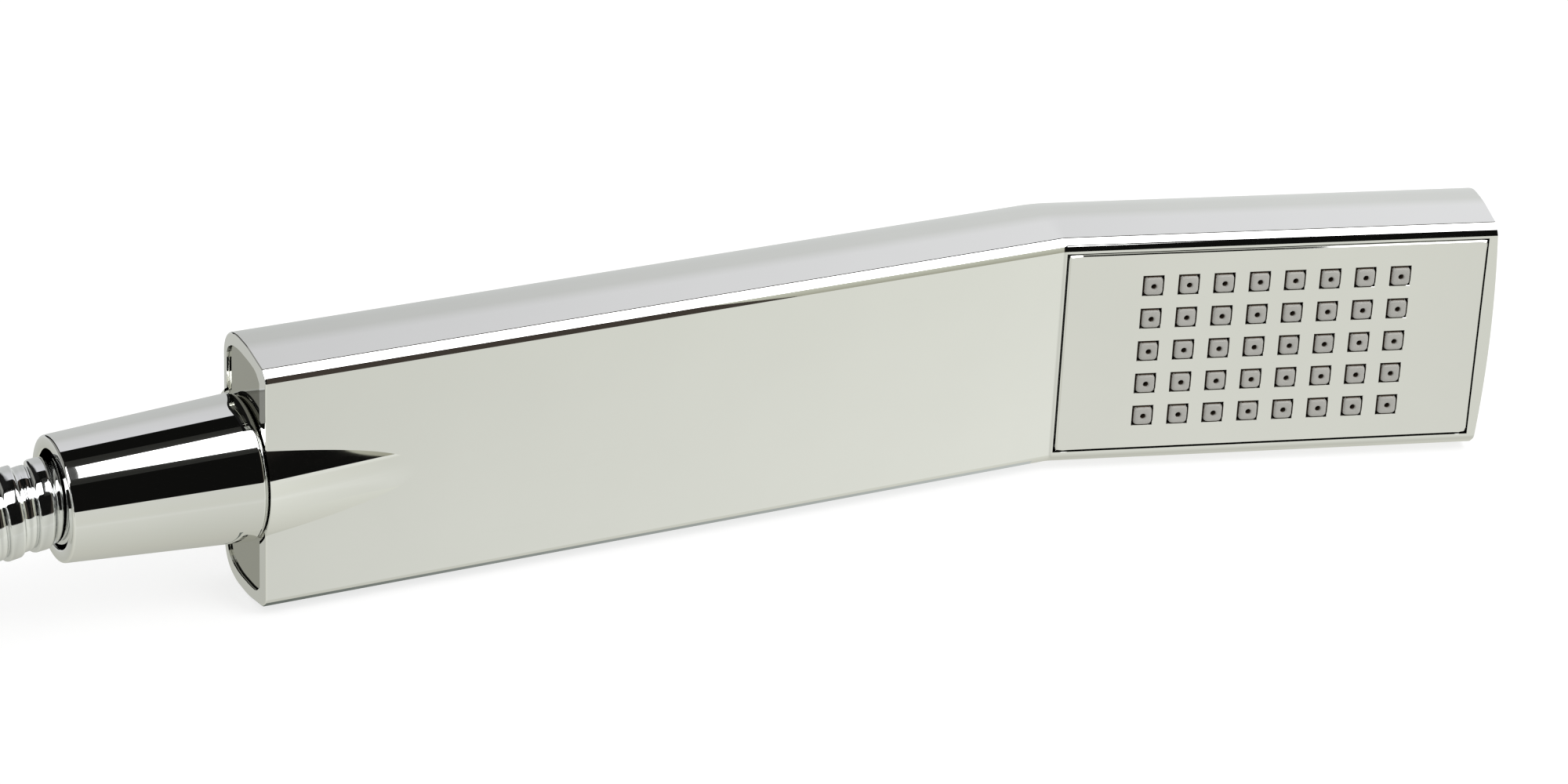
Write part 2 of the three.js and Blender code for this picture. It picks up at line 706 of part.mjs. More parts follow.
// The top turn ends on its far side, raised by the supply nut's greater radius.
function topTurn() {
  const height = HANK_LIFT + HOSE_RADIUS + 2 * LAYER;
  const left = HANK_START - HANK_STRAIGHT;
  const far = -2 * FOLD_RADIUS;
  const end = left + SUPPLY_RUN;
  const rise = [0, 0.25, 0.5, 0.75, 1].map((part) => new THREE.Vector3(
    end - 3 - SUPPLY_RISE * (1 - part), far, height + SUPPLY_LIFT * eased(part),
  ));
  return tubeAlong([
    ...side(HANK_START - GAP, left, 0, height),
    ...fold(left, Math.PI / 2, 9, () => height),
    new THREE.Vector3(left, far, height),
    new THREE.Vector3(left + 6, far, height),
    ...rise,
    new THREE.Vector3(end, far, height + SUPPLY_LIFT),
  ], 30);
}

// A strap pulled tight round three turns on top of each other.
function hankTie() {
  const strap = 1;
  const width = 8;
  const low = HANK_LIFT + HOSE_RADIUS;
  const loop = (radius) => [[low, 180], [low + 2 * LAYER, 0]].flatMap(([height, from]) => (
    [0, 30, 60, 90, 120, 150, 180].map((step) => {
      const turn = THREE.MathUtils.degToRad(from + step);
      return new THREE.Vector2(radius * Math.cos(turn), height + radius * Math.sin(turn));
    })
  ));
  const inner = HOSE_RADIUS + GAP;
  const geometry = new THREE.ExtrudeGeometry(holed(loop(inner + strap), [loop(inner)]), {
    depth: width, bevelEnabled: false,
  });
  geometry.rotateX(Math.PI / 2);
  geometry.rotateZ(Math.PI / 2);
  geometry.translate(-width / 2, 0, 0);
  return geometry;
}

// The supply end, along X from the seat between its nut and its tail.
const SUPPLY_START = -22;
const SUPPLY_NUT_START = -5;
const SUPPLY_NUT_END = 11;

function supplyFerrule() {
  return turned([
    [SUPPLY_START + GAP, 4.5], [SUPPLY_START + GAP, 7.6], [SUPPLY_START + 1, 8],
    [SUPPLY_NUT_START - 1.6, 8], [SUPPLY_NUT_START - 0.6, 7.4], [SUPPLY_NUT_START - GAP, 7.4],
    [SUPPLY_NUT_START - GAP, 4.5],
  ], 24);
}

function supplyTail() {
  return turned([
    [SUPPLY_START + GAP, 3], [SUPPLY_START + GAP, 4.2], [-1.6, 4.2], [-1.6, 9.6], [1, 9.6], [1, 3],
  ], 24);
}

function supplyWasher() {
  return turned([[1.3, 6], [1.3, 9.6], [3.3, 9.6], [3.3, 6]], 24);
}

// A ribbed union nut with turned ends, open towards the wall outlet.
function supplyNut() {
  const ribs = 22;
  const groove = 0.6;
  const chamfer = 1.4;
  const outline = [];
  for (let i = 0; i < 2 * ribs; i += 1) {
    const turn = (i / ribs) * Math.PI;
    const radius = SUPPLY_NUT_RADIUS - (i % 2) * groove;
    outline.push(new THREE.Vector2(radius * Math.cos(turn), radius * Math.sin(turn)));
  }
  const grip = new THREE.ExtrudeGeometry(new THREE.Shape(outline), {
    depth: SUPPLY_NUT_END - SUPPLY_NUT_START, bevelEnabled: false,
  });
  grip.rotateY(Math.PI / 2);
  grip.translate(SUPPLY_NUT_START, 0, 0);
  const wide = SUPPLY_NUT_RADIUS + 0.5;
  const thread = 10.3;
  const room = 9.9;              // for the tail's collar
  const roomStart = -1.9;
  const bore = 7;
  const ends = turned([
    [SUPPLY_NUT_START, wide - chamfer], [SUPPLY_NUT_START + chamfer, wide],
    [SUPPLY_NUT_END - chamfer, wide], [SUPPLY_NUT_END, wide - chamfer],
    [SUPPLY_NUT_END, thread + 0.6], [SUPPLY_NUT_END - 0.7, thread], [4, thread], [3.6, room],
    [roomStart, room], [roomStart, bore], [SUPPLY_NUT_START, bore],
  ], 32);
  return geometryOf(solid(grip).intersect(solid(ends)));
}

// ---------------------------------------------------------------- assembly

function piece(name, geometry, material) {
  const mesh = new THREE.Mesh(geometry, material);
  mesh.name = name;
  return mesh;
}

function handset() {
  const group = new THREE.Group();
  group.add(piece('body_shell', bodyShell(), chrome));
  group.add(piece('tail_plate', tailPlate(), greyInsert));
  group.add(piece('waterway_tube', waterwayTube(), whitePlastic));
  const head = new THREE.Group();
  head.position.x = HANDLE_LENGTH;
  head.rotation.z = -BEND;
  head.add(piece('face_plate', facePlate(), chrome));
  head.add(piece('nozzle_mat', nozzleMat(), silicone));
  head.add(piece('spray_base', sprayBase(), whitePlastic));
  head.add(piece('chamber_seal', chamberSeal(), rubber));
  head.add(piece('water_chamber', waterChamber(), whitePlastic));
  let screwNumber = 0;
  for (const along of SCREW_ALONG) {
    for (const width of SCREW_WIDTH) {
      screwNumber += 1;
      const screw = piece(`face_screw_${screwNumber}`, faceScrew(), steel);
      screw.position.set(along, 0, width);
      head.add(screw);
    }
  }
  group.add(head);
  return group;
}

function neckPieces() {
  const group = new THREE.Group();
  group.position.y = NECK_DEPTH;
  group.add(piece('inlet_spigot', inletSpigot(), brass));
  group.add(piece('inlet_oring', inletOring(), rubber));
  group.add(piece('flow_regulator', flowRegulator(), whitePlastic));
  group.add(piece('inlet_washer', inletWasher(), rubber));
  group.add(piece('cone_nut', coneNut(), chrome));
  group.add(piece('hose_tail', hoseTail(), brass));
  group.add(piece('hose_ferrule', hoseFerrule(), steel));
  return group;
}

// The hose and what is on it, from the neck's axis and the floor.
function hosePieces() {
  const group = new THREE.Group();
  group.position.set(0, NECK_DEPTH, -HALF_WIDTH);
  group.add(piece('hose', hoseRun(), steel));
  group.add(piece('hose_turn_1', tubeAlong(hankTurn(0), 42), steel));
  group.add(piece('hose_turn_2', tubeAlong(hankTurn(1), 42), steel));
  group.add(piece('hose_top_turn', topTurn(), steel));
  [[NEAR_TIE, 0], [FAR_TIE, -2 * FOLD_RADIUS]].forEach(([x, y], index) => {
    const tie = piece(`hank_tie_${index + 1}`, hankTie(), tieStrap);
    tie.position.set(x, y, 0);
    group.add(tie);
  });
  const supply = new THREE.Group();
  supply.position.set(
    HANK_START - HANK_STRAIGHT + SUPPLY_RUN - SUPPLY_START,
    -2 * FOLD_RADIUS,
    HANK_LIFT + HOSE_RADIUS + 2 * LAYER + SUPPLY_LIFT,
  );
  supply.add(piece('supply_ferrule', supplyFerrule(), steel));
  supply.add(piece('supply_tail', supplyTail(), brass));
  supply.add(piece('supply_washer', supplyWasher(), rubber));
  supply.add(piece('supply_nut', supplyNut(), chrome));
  group.add(supply);
  return group;
}

// The origin is on the floor under the middle of the handset with its hose nut.
function assembly() {
  const object = new THREE.Group();
  const rigid = new THREE.Group();
  rigid.add(handset());
  rigid.add(neckPieces());
  object.add(rigid);
  const bounds = new THREE.Box3().setFromObject(rigid);
  const middle = bounds.getCenter(new THREE.Vector3());
  object.add(hosePieces());
  object.position.set(-middle.x, -middle.y, HALF_WIDTH);
  return object;
}

export default assembly();
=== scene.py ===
"""A chrome hand shower with a square-windowed spray face, and its metal hose in a hank."""

import math

import bmesh
import bpy
from mathutils import Matrix, Vector


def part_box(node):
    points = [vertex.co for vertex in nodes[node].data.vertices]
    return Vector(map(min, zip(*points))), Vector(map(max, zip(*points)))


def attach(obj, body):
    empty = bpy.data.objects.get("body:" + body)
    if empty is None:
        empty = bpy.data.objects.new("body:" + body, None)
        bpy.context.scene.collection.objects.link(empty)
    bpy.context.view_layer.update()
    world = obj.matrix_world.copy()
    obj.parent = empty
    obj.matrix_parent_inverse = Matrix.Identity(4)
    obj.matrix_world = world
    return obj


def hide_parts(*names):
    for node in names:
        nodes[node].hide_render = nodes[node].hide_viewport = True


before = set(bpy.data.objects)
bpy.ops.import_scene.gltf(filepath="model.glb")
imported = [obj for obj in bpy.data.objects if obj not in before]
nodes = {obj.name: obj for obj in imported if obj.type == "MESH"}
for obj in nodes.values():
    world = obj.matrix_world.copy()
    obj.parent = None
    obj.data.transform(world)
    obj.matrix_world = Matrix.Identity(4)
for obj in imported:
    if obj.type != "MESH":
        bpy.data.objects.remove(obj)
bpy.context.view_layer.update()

MM = 0.001

# ------ sizes, in mm

THICKNESS = 18.6
HALF_WIDTH = 22.1
HANDLE_LENGTH = 143.2
HEAD_LENGTH = 77.1
BEND = math.radians(15.5)
BEND_RADIUS = 3.2
END_RADIUS = 240
END_ROUND = 4.5
NECK_DEPTH = 10.4

# Half of the outer section: lines as ("line", length), and arcs as ("arc", radius,
# tilt reached). The tilt is the surface's, from the front, in degrees.
EDGE_TILT = 14
SECTION = [
    ("arc", 2.05, 48), ("line", 1.15), ("arc", 0.6, 80), ("line", 4.9), ("arc", 18, 90),
    ("line", 2), ("arc", 10, 112), ("arc", 5.01, 180),
]
ARC_STEP = 3.0  # degrees of tilt per facet
RIM = 0.3  # bevel round the open tail

# The hollow, as (depth, half width).
HOLLOW = [
    (2.7, 18.0), (3.2, 18.5), (4.0, 19.15), (5.0, 19.55), (6.5, 19.75), (8, 19.85),
    (11, 19.95), (12.6, 19.85), (14, 19.6), (15.1, 19.25), (16, 18.75), (16.7, 18.1),
    (17.1, 17.2),
]
END_WALL = 2.2

FAIRING_RADIUS = 12.8
FRONT_FAIRING = 26
REAR_FAIRING = 36
NOSE_RADIUS = 12.35
NECK_BORE = 11.3
NECK_BORE_DEPTH = 5.1
INSERT_FRONT = 0.4
INSERT_BACK = INSERT_FRONT + 2.2
SPIGOT_RADIUS = 10.2

NUT_INNER_END = 0.3
NUT_OUTER_END = -31.5
NUT_RADIUS = 12.05  # at the tail
NUT_TAPER = 0.0595
NUT_BORE = 8.0  # at the hose
NUT_ROOM = 10.1  # for the hose's tail
NUT_THREAD = 10.5
NUT_STEP = -15.9
NUT_SEAT = -10.9

COLUMNS = 8
ROWS = 5
PITCH = 6.25
ROW_PITCH = 6.1
GRID_CENTRE = 37.7
WINDOW = 3.65
PLATE_START = 0.86
PLATE_END = 74.78
PLATE_HALF = 18.4
PLATE_SHIFT = -0.1  # it sits nearer one side of its opening
PLATE_THICKNESS = 1.6
PLATE_CHAMFER = 0.28
PLATE_CORNER = 0.5
OPENING_START = 0.38
OPENING_END = 74.9
OPENING_HALF = 18.6
OPENING_DEPTH = 3.2
MAT_FRONT = 1.9
MAT_BACK = 3.1
MAT_START = 2
MAT_END = 73
MAT_HALF = 17.6
MAT_CORNER = 2

# One nozzle from its foot to its front, as (half width, depth, corner), and its hole
# from the front to the back, as (radius, depth).
NOZZLE_OUTSIDE = [
    (1.68, MAT_FRONT, 0.7), (1.64, MAT_FRONT - 0.12, 0.7), (1.62, 0.2, 0.7), (1.59, -0.15, 0.7),
    (1.52, -0.36, 0.68), (1.40, -0.51, 0.62), (1.22, -0.585, 0.6), (0.98, -0.6, 0.6),
]
NOZZLE_HOLE = [(0.76, -0.6), (0.6, -0.57), (0.51, -0.48), (0.46, -0.25), (0.45, MAT_BACK)]
# Painted shade: the walls behind this depth, down the holes and down the pads' sides, take a dark
# brown.
NOZZLE_DARK_FROM = -0.3  # the hole's walls behind this depth are dark

HOSE_RADIUS = 7.2
HANK_START = -113.0  # where the first turn begins, in line with the neck
HANK_STRAIGHT = 124.0
FOLD_RADIUS = 44.0
HANK_LIFT = 1.3  # the turns lie on their ties
LAYER = 14.9
CLIMB = math.radians(130)  # of the right fold, where a turn climbs
SUPPLY_RUN = 66.0  # of the top turn's last straight side
SUPPLY_RISE = 45.0
SUPPLY_LIFT = 5.1
SUPPLY_NUT_RADIUS = 12.0
SUPPLY_X = HANK_START - HANK_STRAIGHT + SUPPLY_RUN + 22
FAR_SIDE = NECK_DEPTH - 2 * FOLD_RADIUS
TIE_PLACES = ((-173.0, NECK_DEPTH), (-219.0, FAR_SIDE))

# ------ places

nut_low, nut_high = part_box("cone_nut")
TAIL = Vector((
    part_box("body_shell")[0][0], (nut_low[1] + nut_high[1]) / 2, (nut_low[2] + nut_high[2]) / 2,
))


def place(x, depth, width=0.0):
    """A point in the frame's axes from distance past the tail, depth and width, in mm."""
    return TAIL + Vector((x, depth - NECK_DEPTH, width)) * MM


def in_head(along, depth, width=0.0):
    """The same for the head, from the distance past the bend on its front face."""
    return place(
        HANDLE_LENGTH + along * math.cos(BEND) + depth * math.sin(BEND),
        depth * math.cos(BEND) - along * math.sin(BEND),
        width,
    )


# ------ camera

CAMERA_LENS = 110.03  # mm on a 36 mm wide sensor
CAMERA_AZIMUTH = math.radians(-27.747)
CAMERA_ELEVATION = math.radians(25.585)
CAMERA_ROLL = math.radians(2.878)
CAMERA_TARGET = place(91.096, 0, 2.0)
CAMERA_DISTANCE = 0.791121


def make_camera():
    data = bpy.data.cameras.new("camera")
    data.lens = CAMERA_LENS
    data.sensor_width = 36
    data.clip_start = 0.05
    data.clip_end = 30
    camera = bpy.data.objects.new("camera", data)
    bpy.context.collection.objects.link(camera)
    cos_e = math.cos(CAMERA_ELEVATION)
    back = Vector((
        math.sin(CAMERA_AZIMUTH) * cos_e,
        -math.cos(CAMERA_AZIMUTH) * cos_e,
        math.sin(CAMERA_ELEVATION),
    ))
    level = Vector((math.cos(CAMERA_AZIMUTH), math.sin(CAMERA_AZIMUTH), 0))
    above = back.cross(level)
    right = math.cos(CAMERA_ROLL) * level + math.sin(CAMERA_ROLL) * above
    up = -math.sin(CAMERA_ROLL) * level + math.cos(CAMERA_ROLL) * above
    turn = Matrix((right, up, back)).transposed().to_4x4()
    camera.matrix_world = Matrix.Translation(CAMERA_TARGET + back * CAMERA_DISTANCE) @ turn
    bpy.context.scene.camera = camera


make_camera()

# ------ material nodes


class Graph:
    """A node tree under construction, whose parts take and give output sockets."""

    def node(self, kind, **settings):
        made = self.tree.nodes.new(kind)
        for key, value in settings.items():
            setattr(made, key, value)
        return made

    def join(self, source, target):
        self.tree.links.new(source, target)

    def span(self, value, source, target, **settings):
        """source's range of the value carried to target's, clamped."""
        ranged = self.node("ShaderNodeMapRange", **settings)
        for key, limit in zip(("From Min", "From Max", "To Min", "To Max"), (*source, *target)):
            ranged.inputs[key].default_value = limit
        self.join(value, ranged.inputs["Value"])
        return ranged.outputs["Result"]

    def mix(self, factor, a, b):
        """The colour goes from a to b with the factor."""
        made = self.node("ShaderNodeMix", data_type="RGBA")
        self.join(factor, made.inputs[0])
        for index, value in ((6, a), (7, b)):
            if isinstance(value, (list, tuple)):
                made.inputs[index].default_value = (*value, 1)
            else:
                self.join(value, made.inputs[index])
        return made.outputs[2]


class Shader(Graph):
    """A material, with short ways to give it tone, polish and relief."""

    def __init__(self, name):
        self.material = bpy.data.materials.new(name)
        self.material.use_nodes = True
        self.tree = self.material.node_tree
        self.tree.nodes.clear()
        output = self.node("ShaderNodeOutputMaterial")
        self.bsdf = self.node("ShaderNodeBsdfPrincipled")
        self.join(self.bsdf.outputs["BSDF"], output.inputs["Surface"])
        self.place = self.node("ShaderNodeTexCoord").outputs["Object"]

    def set(self, **values):
        for key, value in values.items():
            self.bsdf.inputs[key.replace("_", " ")].default_value = value

    def drive(self, into, value):
        self.join(value, self.bsdf.inputs[into])

    def noise(self, scale, detail=3.0, stretch=(1, 1, 1)):
        """Noise in object space; scale is in features per metre."""
        mapping = self.node("ShaderNodeMapping")
        mapping.inputs["Scale"].default_value = stretch
        self.join(self.place, mapping.inputs["Vector"])
        noise = self.node("ShaderNodeTexNoise")
        for key, value in (("Scale", scale), ("Detail", detail), ("Roughness", 0.55)):
            noise.inputs[key].default_value = value
        self.join(mapping.outputs["Vector"], noise.inputs["Vector"])
        return noise.outputs["Fac"]

    def glow(self, low, high, reach, axis="Z", start=0.0):
        """A light of its own, from the colour low at start along an axis to high at reach."""
        split = self.node("ShaderNodeSeparateXYZ")
        self.join(self.place, split.inputs["Vector"])
        far = self.span(split.outputs[axis], (start, reach), (0, 1))
        self.drive("Emission Color", self.mix(far, low, high))
        self.set(Base_Color=(0, 0, 0, 1), Emission_Strength=1.0)

    def bump(self, value, distance, after=None):
        """The value as relief of that height in metres, upon after's."""
        bump = self.node("ShaderNodeBump")
        bump.inputs["Distance"].default_value = distance
        self.join(value, bump.inputs["Height"])
        if after is not None:
            self.join(after, bump.inputs["Normal"])
        self.drive("Normal", bump.outputs["Normal"])
        return bump.outputs["Normal"]


MARK_DEPTH = 0.0000004  # in metres, as waves, grain and tool marks are
TOOL_DEPTH = 0.000003


def chrome(name, tone=(0.86, 0.865, 0.85), roughness=0.02, wave=0.000012, marking=0.04):
    """Plated chrome: slightly uneven polish and a few hair-fine wiping marks."""
    s = Shader(name)
    s.set(Metallic=1.0)
    cloud = s.span(s.noise(45, 4), (0.35, 0.65), (0, 1))
    s.drive("Base Color", s.mix(cloud, [0.985 * c for c in tone], tone))
    marks = s.noise(700, 2, (0.05, 1.0, 1.0))
    s.drive("Roughness", s.span(marks, (0.62, 0.75), (roughness, roughness + marking)))
    waves = s.bump(s.noise(30, 1), wave)
    s.bump(s.span(marks, (0.66, 0.72), (0, 1)), MARK_DEPTH, waves)
    return s.material


def moulded(name, tone, roughness, grain=0.00001, contrast=0.06, scale=1500):
    """Moulded plastic or rubber with a fine grain and uneven tone."""
    s = Shader(name)
    cloud = s.span(s.noise(120, 4), (0.35, 0.65), (0, 1))
    s.drive("Base Color", s.mix(cloud, [c * (1 - contrast) for c in tone], tone))
    fine = s.noise(scale, 3)
    sheen = (roughness * 0.88, min(1, roughness * 1.12))
    s.drive("Roughness", s.span(fine, (0.3, 0.7), sheen))
    s.bump(fine, grain)
    return s.material


def metal(name, tone, roughness, stretch=(1, 1, 1), scale=900):
    """Turned or pressed metal with fine tool marks."""
    s = Shader(name)
    s.set(Metallic=1.0)
    marks = s.noise(scale, 3, stretch)
    tracks = s.span(marks, (0.3, 0.7), (0, 1))
    s.drive("Base Color", s.mix(tracks, [c * 0.85 for c in tone], tone))
    s.drive("Roughness", s.span(marks, (0.3, 0.7), (roughness * 0.8, roughness * 1.25)))
    s.bump(marks, TOOL_DEPTH)
    return s.material


body_chrome = chrome("body_chrome")
plate_chrome = chrome("plate_chrome", (0.87, 0.872, 0.862))
nut_chrome = chrome("nut_chrome", roughness=0.012, wave=0.000001, marking=0.01)
hose_steel = chrome("hose_steel", (0.80, 0.81, 0.81), 0.06, 0.000005)
ferrule_steel = metal("ferrule_steel", (0.66, 0.67, 0.67), 0.16, (1, 0.1, 0.1))
screw_steel = metal("screw_steel", (0.62, 0.62, 0.62), 0.25)
brass_metal = metal("brass_metal", (0.72, 0.56, 0.28), 0.25, (1, 0.08, 0.08))
grey_insert = chrome("grey_insert", (0.42, 0.42, 0.375), 0.05)
nozzle_silicone = moulded("nozzle_silicone", (0.34, 0.335, 0.31), 0.4, 0.000004)
# painted shade for the nozzles' deep walls, where the holes and the gaps round the pads lie in
# shadow
nozzle_painted_shade = moulded("nozzle_painted_shade", (0.07, 0.05, 0.035), 0.5)
# painted shade: near black for walls down in gaps, where light does not reach
gap_painted_shade = moulded("gap_painted_shade", (0.012, 0.012, 0.012), 0.5)
white_plastic = moulded("white_plastic", (0.72, 0.72, 0.69), 0.45)
seal_rubber = moulded("seal_rubber", (0.02, 0.02, 0.021), 0.7)
tie_strap = moulded("tie_strap", (0.035, 0.036, 0.038), 0.55, 0.00002, scale=2500)

# ------ mesh helpers


def new_object(name, mesh, material, sharp=30.0, weighted=False):
    """Links a finished mesh as an object with that material, smooth but for its edges."""
    obj = bpy.data.objects.new(name, mesh)
    bpy.context.collection.objects.link(obj)
    mesh.materials.clear()
    mesh.materials.append(material)
    mesh.polygons.foreach_set("use_smooth", [True] * len(mesh.polygons))
    mesh.set_sharp_from_angle(angle=math.radians(sharp))
    if weighted:
        modifier = obj.modifiers.new("even_normals", "WEIGHTED_NORMAL")
        modifier.keep_sharp = True
        modifier.weight = 100
    return obj


def piece(name, mesh, material, body, slot, *replaced, sharp=35.0, weighted=False):
    """A visible piece on its body, in place of those CAD pieces."""
    obj = new_object(name, mesh, material, sharp, weighted)
    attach(obj, body)
    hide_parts(*replaced)
    return obj


def corners_of(x0, y0, x1, y1):
    return [(x0, y0), (x1, y0), (x1, y1), (x0, y1)]


def quarter(steps):
    """(1 - cosine, 1 - sine) at even steps of a quarter turn."""
    turns = [math.pi / 2 * i / steps for i in range(steps + 1)]
    return [(1 - math.cos(turn), 1 - math.sin(turn)) for turn in turns]


def mesh_of(name, points, faces):
    mesh = bpy.data.meshes.new(name)
    mesh.from_pydata([tuple(p) for p in points], [], faces)
    mesh.validate()
    mesh.update()
    return mesh


def outward(mesh, merge=0.0, fill=False):
    """Turns every face outwards, after joining vertices closer than merge metres.

    With fill the open ends are closed first."""
    work = bmesh.new()
    work.from_mesh(mesh)
    if merge:
        bmesh.ops.remove_doubles(work, verts=work.verts, dist=merge)
        bmesh.ops.dissolve_degenerate(work, edges=work.edges, dist=merge)
    if fill:
        open_edges = [edge for edge in work.edges if edge.is_boundary]
        bmesh.ops.holes_fill(work, edges=open_edges, sides=0)
    bmesh.ops.recalc_face_normals(work, faces=work.faces)
    work.to_mesh(mesh)
    work.free()
    return mesh


def tube_faces(loops, count, closed=False):
    """Quads between rings of count points each, one ring after the other."""
    faces = []
    for i in range(loops if closed else loops - 1):
        after = (i + 1) % loops
        for j in range(count):
            k = (j + 1) % count
            faces.append((i * count + j, i * count + k, after * count + k, after * count + j))
    return faces


def lofted(name, loops):
    """A closed skin through rings of equally many points, capped at both ends."""
    count = len(loops[0])
    faces = tube_faces(len(loops), count)
    last = (len(loops) - 1) * count
    faces.append(tuple(range(count)))
    faces.append(tuple(last + j for j in range(count)))
    return outward(mesh_of(name, [p for loop in loops for p in loop], faces))


def circle(sides):
    """(turn, cosine, sine) evenly round."""
    turns = [2 * math.pi * j / sides for j in range(sides)]
    return [(turn, math.cos(turn), math.sin(turn)) for turn in turns]


def lathe(name, profile, centre, sides, groove=None):
    """A closed ring about an axis along X, from (x, radius) corners in mm.

    groove(x, radius, turn) is how much lower the surface is at that turn."""
    points = []
    for x, radius in profile:
        for turn, c, s in circle(sides):
            reach = radius - groove(x, radius, turn) if groove else radius
            points.append(centre + Vector((x, reach * c, reach * s)) * MM)
    return outward(mesh_of(name, points, tube_faces(len(profile), sides, closed=True)))


def rounded(corners, steps=6):
    """A closed outline from (a, b, radius) corners, each rounded to its radius."""
    outline = []
    count = len(corners)
    for i, (a, b, radius) in enumerate(corners):
        here = Vector((a, b))
        to_last = (Vector(corners[i - 1][:2]) - here).normalized()
        to_next = (Vector(corners[(i + 1) % count][:2]) - here).normalized()
        half = to_last.angle(to_next) / 2
        if radius == 0 or half > math.radians(89):
            outline.append((a, b))
            continue
        centre = here + (to_last + to_next).normalized() * (radius / math.sin(half))
        start = here + to_last * (radius / math.tan(half))
        end = here + to_next * (radius / math.tan(half))
        side = start - centre
        sweep = side.angle(end - centre)
        towards = (end - centre) - side * math.cos(sweep)
        towards.normalize()
        for k in range(steps + 1):
            turn = sweep * k / steps
            point = centre + side * math.cos(turn) + towards * (radius * math.sin(turn))
            outline.append((point.x, point.y))
    return outline


def cut(target, tool, operation):
    """Applies one exact boolean of mesh tool to mesh target, and returns the result."""
    a = bpy.data.objects.new("cut_target", target)
    b = bpy.data.objects.new("cut_tool", tool)
    for obj in (a, b):
        bpy.context.collection.objects.link(obj)
    modifier = a.modifiers.new("cut", "BOOLEAN")
    modifier.operation = operation
    modifier.solver = "EXACT"
    modifier.object = b
    graph = bpy.context.evaluated_depsgraph_get()
    result = bpy.data.meshes.new_from_object(a.evaluated_get(graph))
    bpy.data.objects.remove(a)
    bpy.data.objects.remove(b)
    return result


def drum(name, x0, x1, radius, sides=160):
    return lofted(name, [
        [place(x, NECK_DEPTH + radius * c, radius * s) for _, c, s in circle(sides)]
        for x in (x0, x1)
    ])


# ------ hose route

RUN_IN = [
    (-24.3, 22.1), (-28, 22.07), (-31.5, 21.89), (-35, 21.55), (-39, 20.96), (-43, 20.16),
    (-47, 19.13), (-51, 17.86), (-57, 15.92), (-63, 13.98), (-67, 12.7), (-73, 10.98),
    (-79, 9.72), (-85, 8.92), (-91, 8.56), (-97, 8.5), (-105, 8.5),
]
FLOOR_HEIGHT = HANK_LIFT + HOSE_RADIUS
FOLD_STEPS = 16
SIDE_STEP = 6.0
CURVE_STEPS = 8


def ease(t):
    t = min(1.0, max(0.0, t))
    return t * t * (3 - 2 * t)


def hank_side(start, end, depth, height_at):
    """Points of one straight side, without its last one."""
    steps = round(abs(end - start) / SIDE_STEP)
    xs = [start + (end - start) * i / steps for i in range(steps)]
    return [place(x, depth, height_at(x) - HALF_WIDTH) for x in xs]


def hank_fold(centre_x, start, height_at):
    """Points of one fold from the angle start, in radians, without its last one."""
    points = []
    for i in range(FOLD_STEPS):
        turn = math.pi * i / FOLD_STEPS
        points.append(place(
            centre_x + FOLD_RADIUS * math.cos(start + turn),
            NECK_DEPTH - FOLD_RADIUS + FOLD_RADIUS * math.sin(start + turn),
            height_at(turn) - HALF_WIDTH,
        ))
    return points


def hose_route():
    """The hose's centreline: out of the nut, down to the floor, and the hank's turns."""
    left = HANK_START - HANK_STRAIGHT
    route = [place(x, NECK_DEPTH, height - HALF_WIDTH) for x, height in RUN_IN]
    for layer in (0, 1):
        level = FLOOR_HEIGHT + layer * LAYER
        route += hank_side(HANK_START, left, NECK_DEPTH, lambda x: level)
        route += hank_fold(left, math.pi / 2, lambda turn: level)
        route += hank_side(left, HANK_START, FAR_SIDE, lambda x: level)
        route += hank_fold(
            HANK_START, -math.pi / 2, lambda turn: level + LAYER * ease(turn / CLIMB))
    top = FLOOR_HEIGHT + 2 * LAYER
    end = left + SUPPLY_RUN
    rise_start = end - 3 - SUPPLY_RISE
    route += hank_side(HANK_START, left, NECK_DEPTH, lambda x: top)
    route += hank_fold(left, math.pi / 2, lambda turn: top)
    route += hank_side(
        left, end, FAR_SIDE, lambda x: top + SUPPLY_LIFT * ease((x - rise_start) / SUPPLY_RISE),
    )
    route.append(place(end, FAR_SIDE, top + SUPPLY_LIFT - HALF_WIDTH))
    return route


def smooth_curve(route, step):
    """Points at even steps along a curve through the route, with their directions."""
    dense = []
    for i in range(len(route) - 1):
        a, b, c, d = (route[min(max(0, i + k), len(route) - 1)] for k in (-1, 0, 1, 2))
        for k in range(CURVE_STEPS):
            t = k / CURVE_STEPS
            dense.append(0.5 * (2 * b + (c - a) * t + (2 * a - 5 * b + 4 * c - d) * t * t
                                + (3 * b - a - 3 * c + d) * t * t * t))
    dense.append(route[-1])
    lengths = [0.0]
    for p, q in zip(dense, dense[1:]):
        lengths.append(lengths[-1] + (q - p).length)
    total = lengths[-1]
    count = round(total / step)
    points = []
    at = 0
    for i in range(count + 1):
        wanted = total * i / count
        while at < len(dense) - 2 and lengths[at + 1] < wanted:
            at += 1
        part = (wanted - lengths[at]) / (lengths[at + 1] - lengths[at])
        points.append(dense[at].lerp(dense[at + 1], part))
    directions = [
        (points[min(count, i + 1)] - points[max(0, i - 1)]).normalized() for i in range(count + 1)
    ]
    return points, directions, total


# ------ hose

PITCH_LENGTH = 4.9  # of the wound strip
STRIP = [  # one pitch of its section: (along, radius)
    (0.0, 6.72), (0.10, 7.05), (0.25, 7.16), (0.6, 7.2), (1.5, 7.2), (2.2, 7.2),
    (2.5, 7.12), (2.62, 6.98), (2.66, 6.3), (2.9, 6.3), (2.95, 6.52), (3.1, 6.62),
    (4.0, 6.66), (4.75, 6.6),
]
STRIP_PHASE = 1.5  # where the first pitch starts
HOSE_SIDES = 40
HOSE_STEP = 0.5  # between the points of its centreline
PATH_EVERY = 20  # of those points are told on as its path


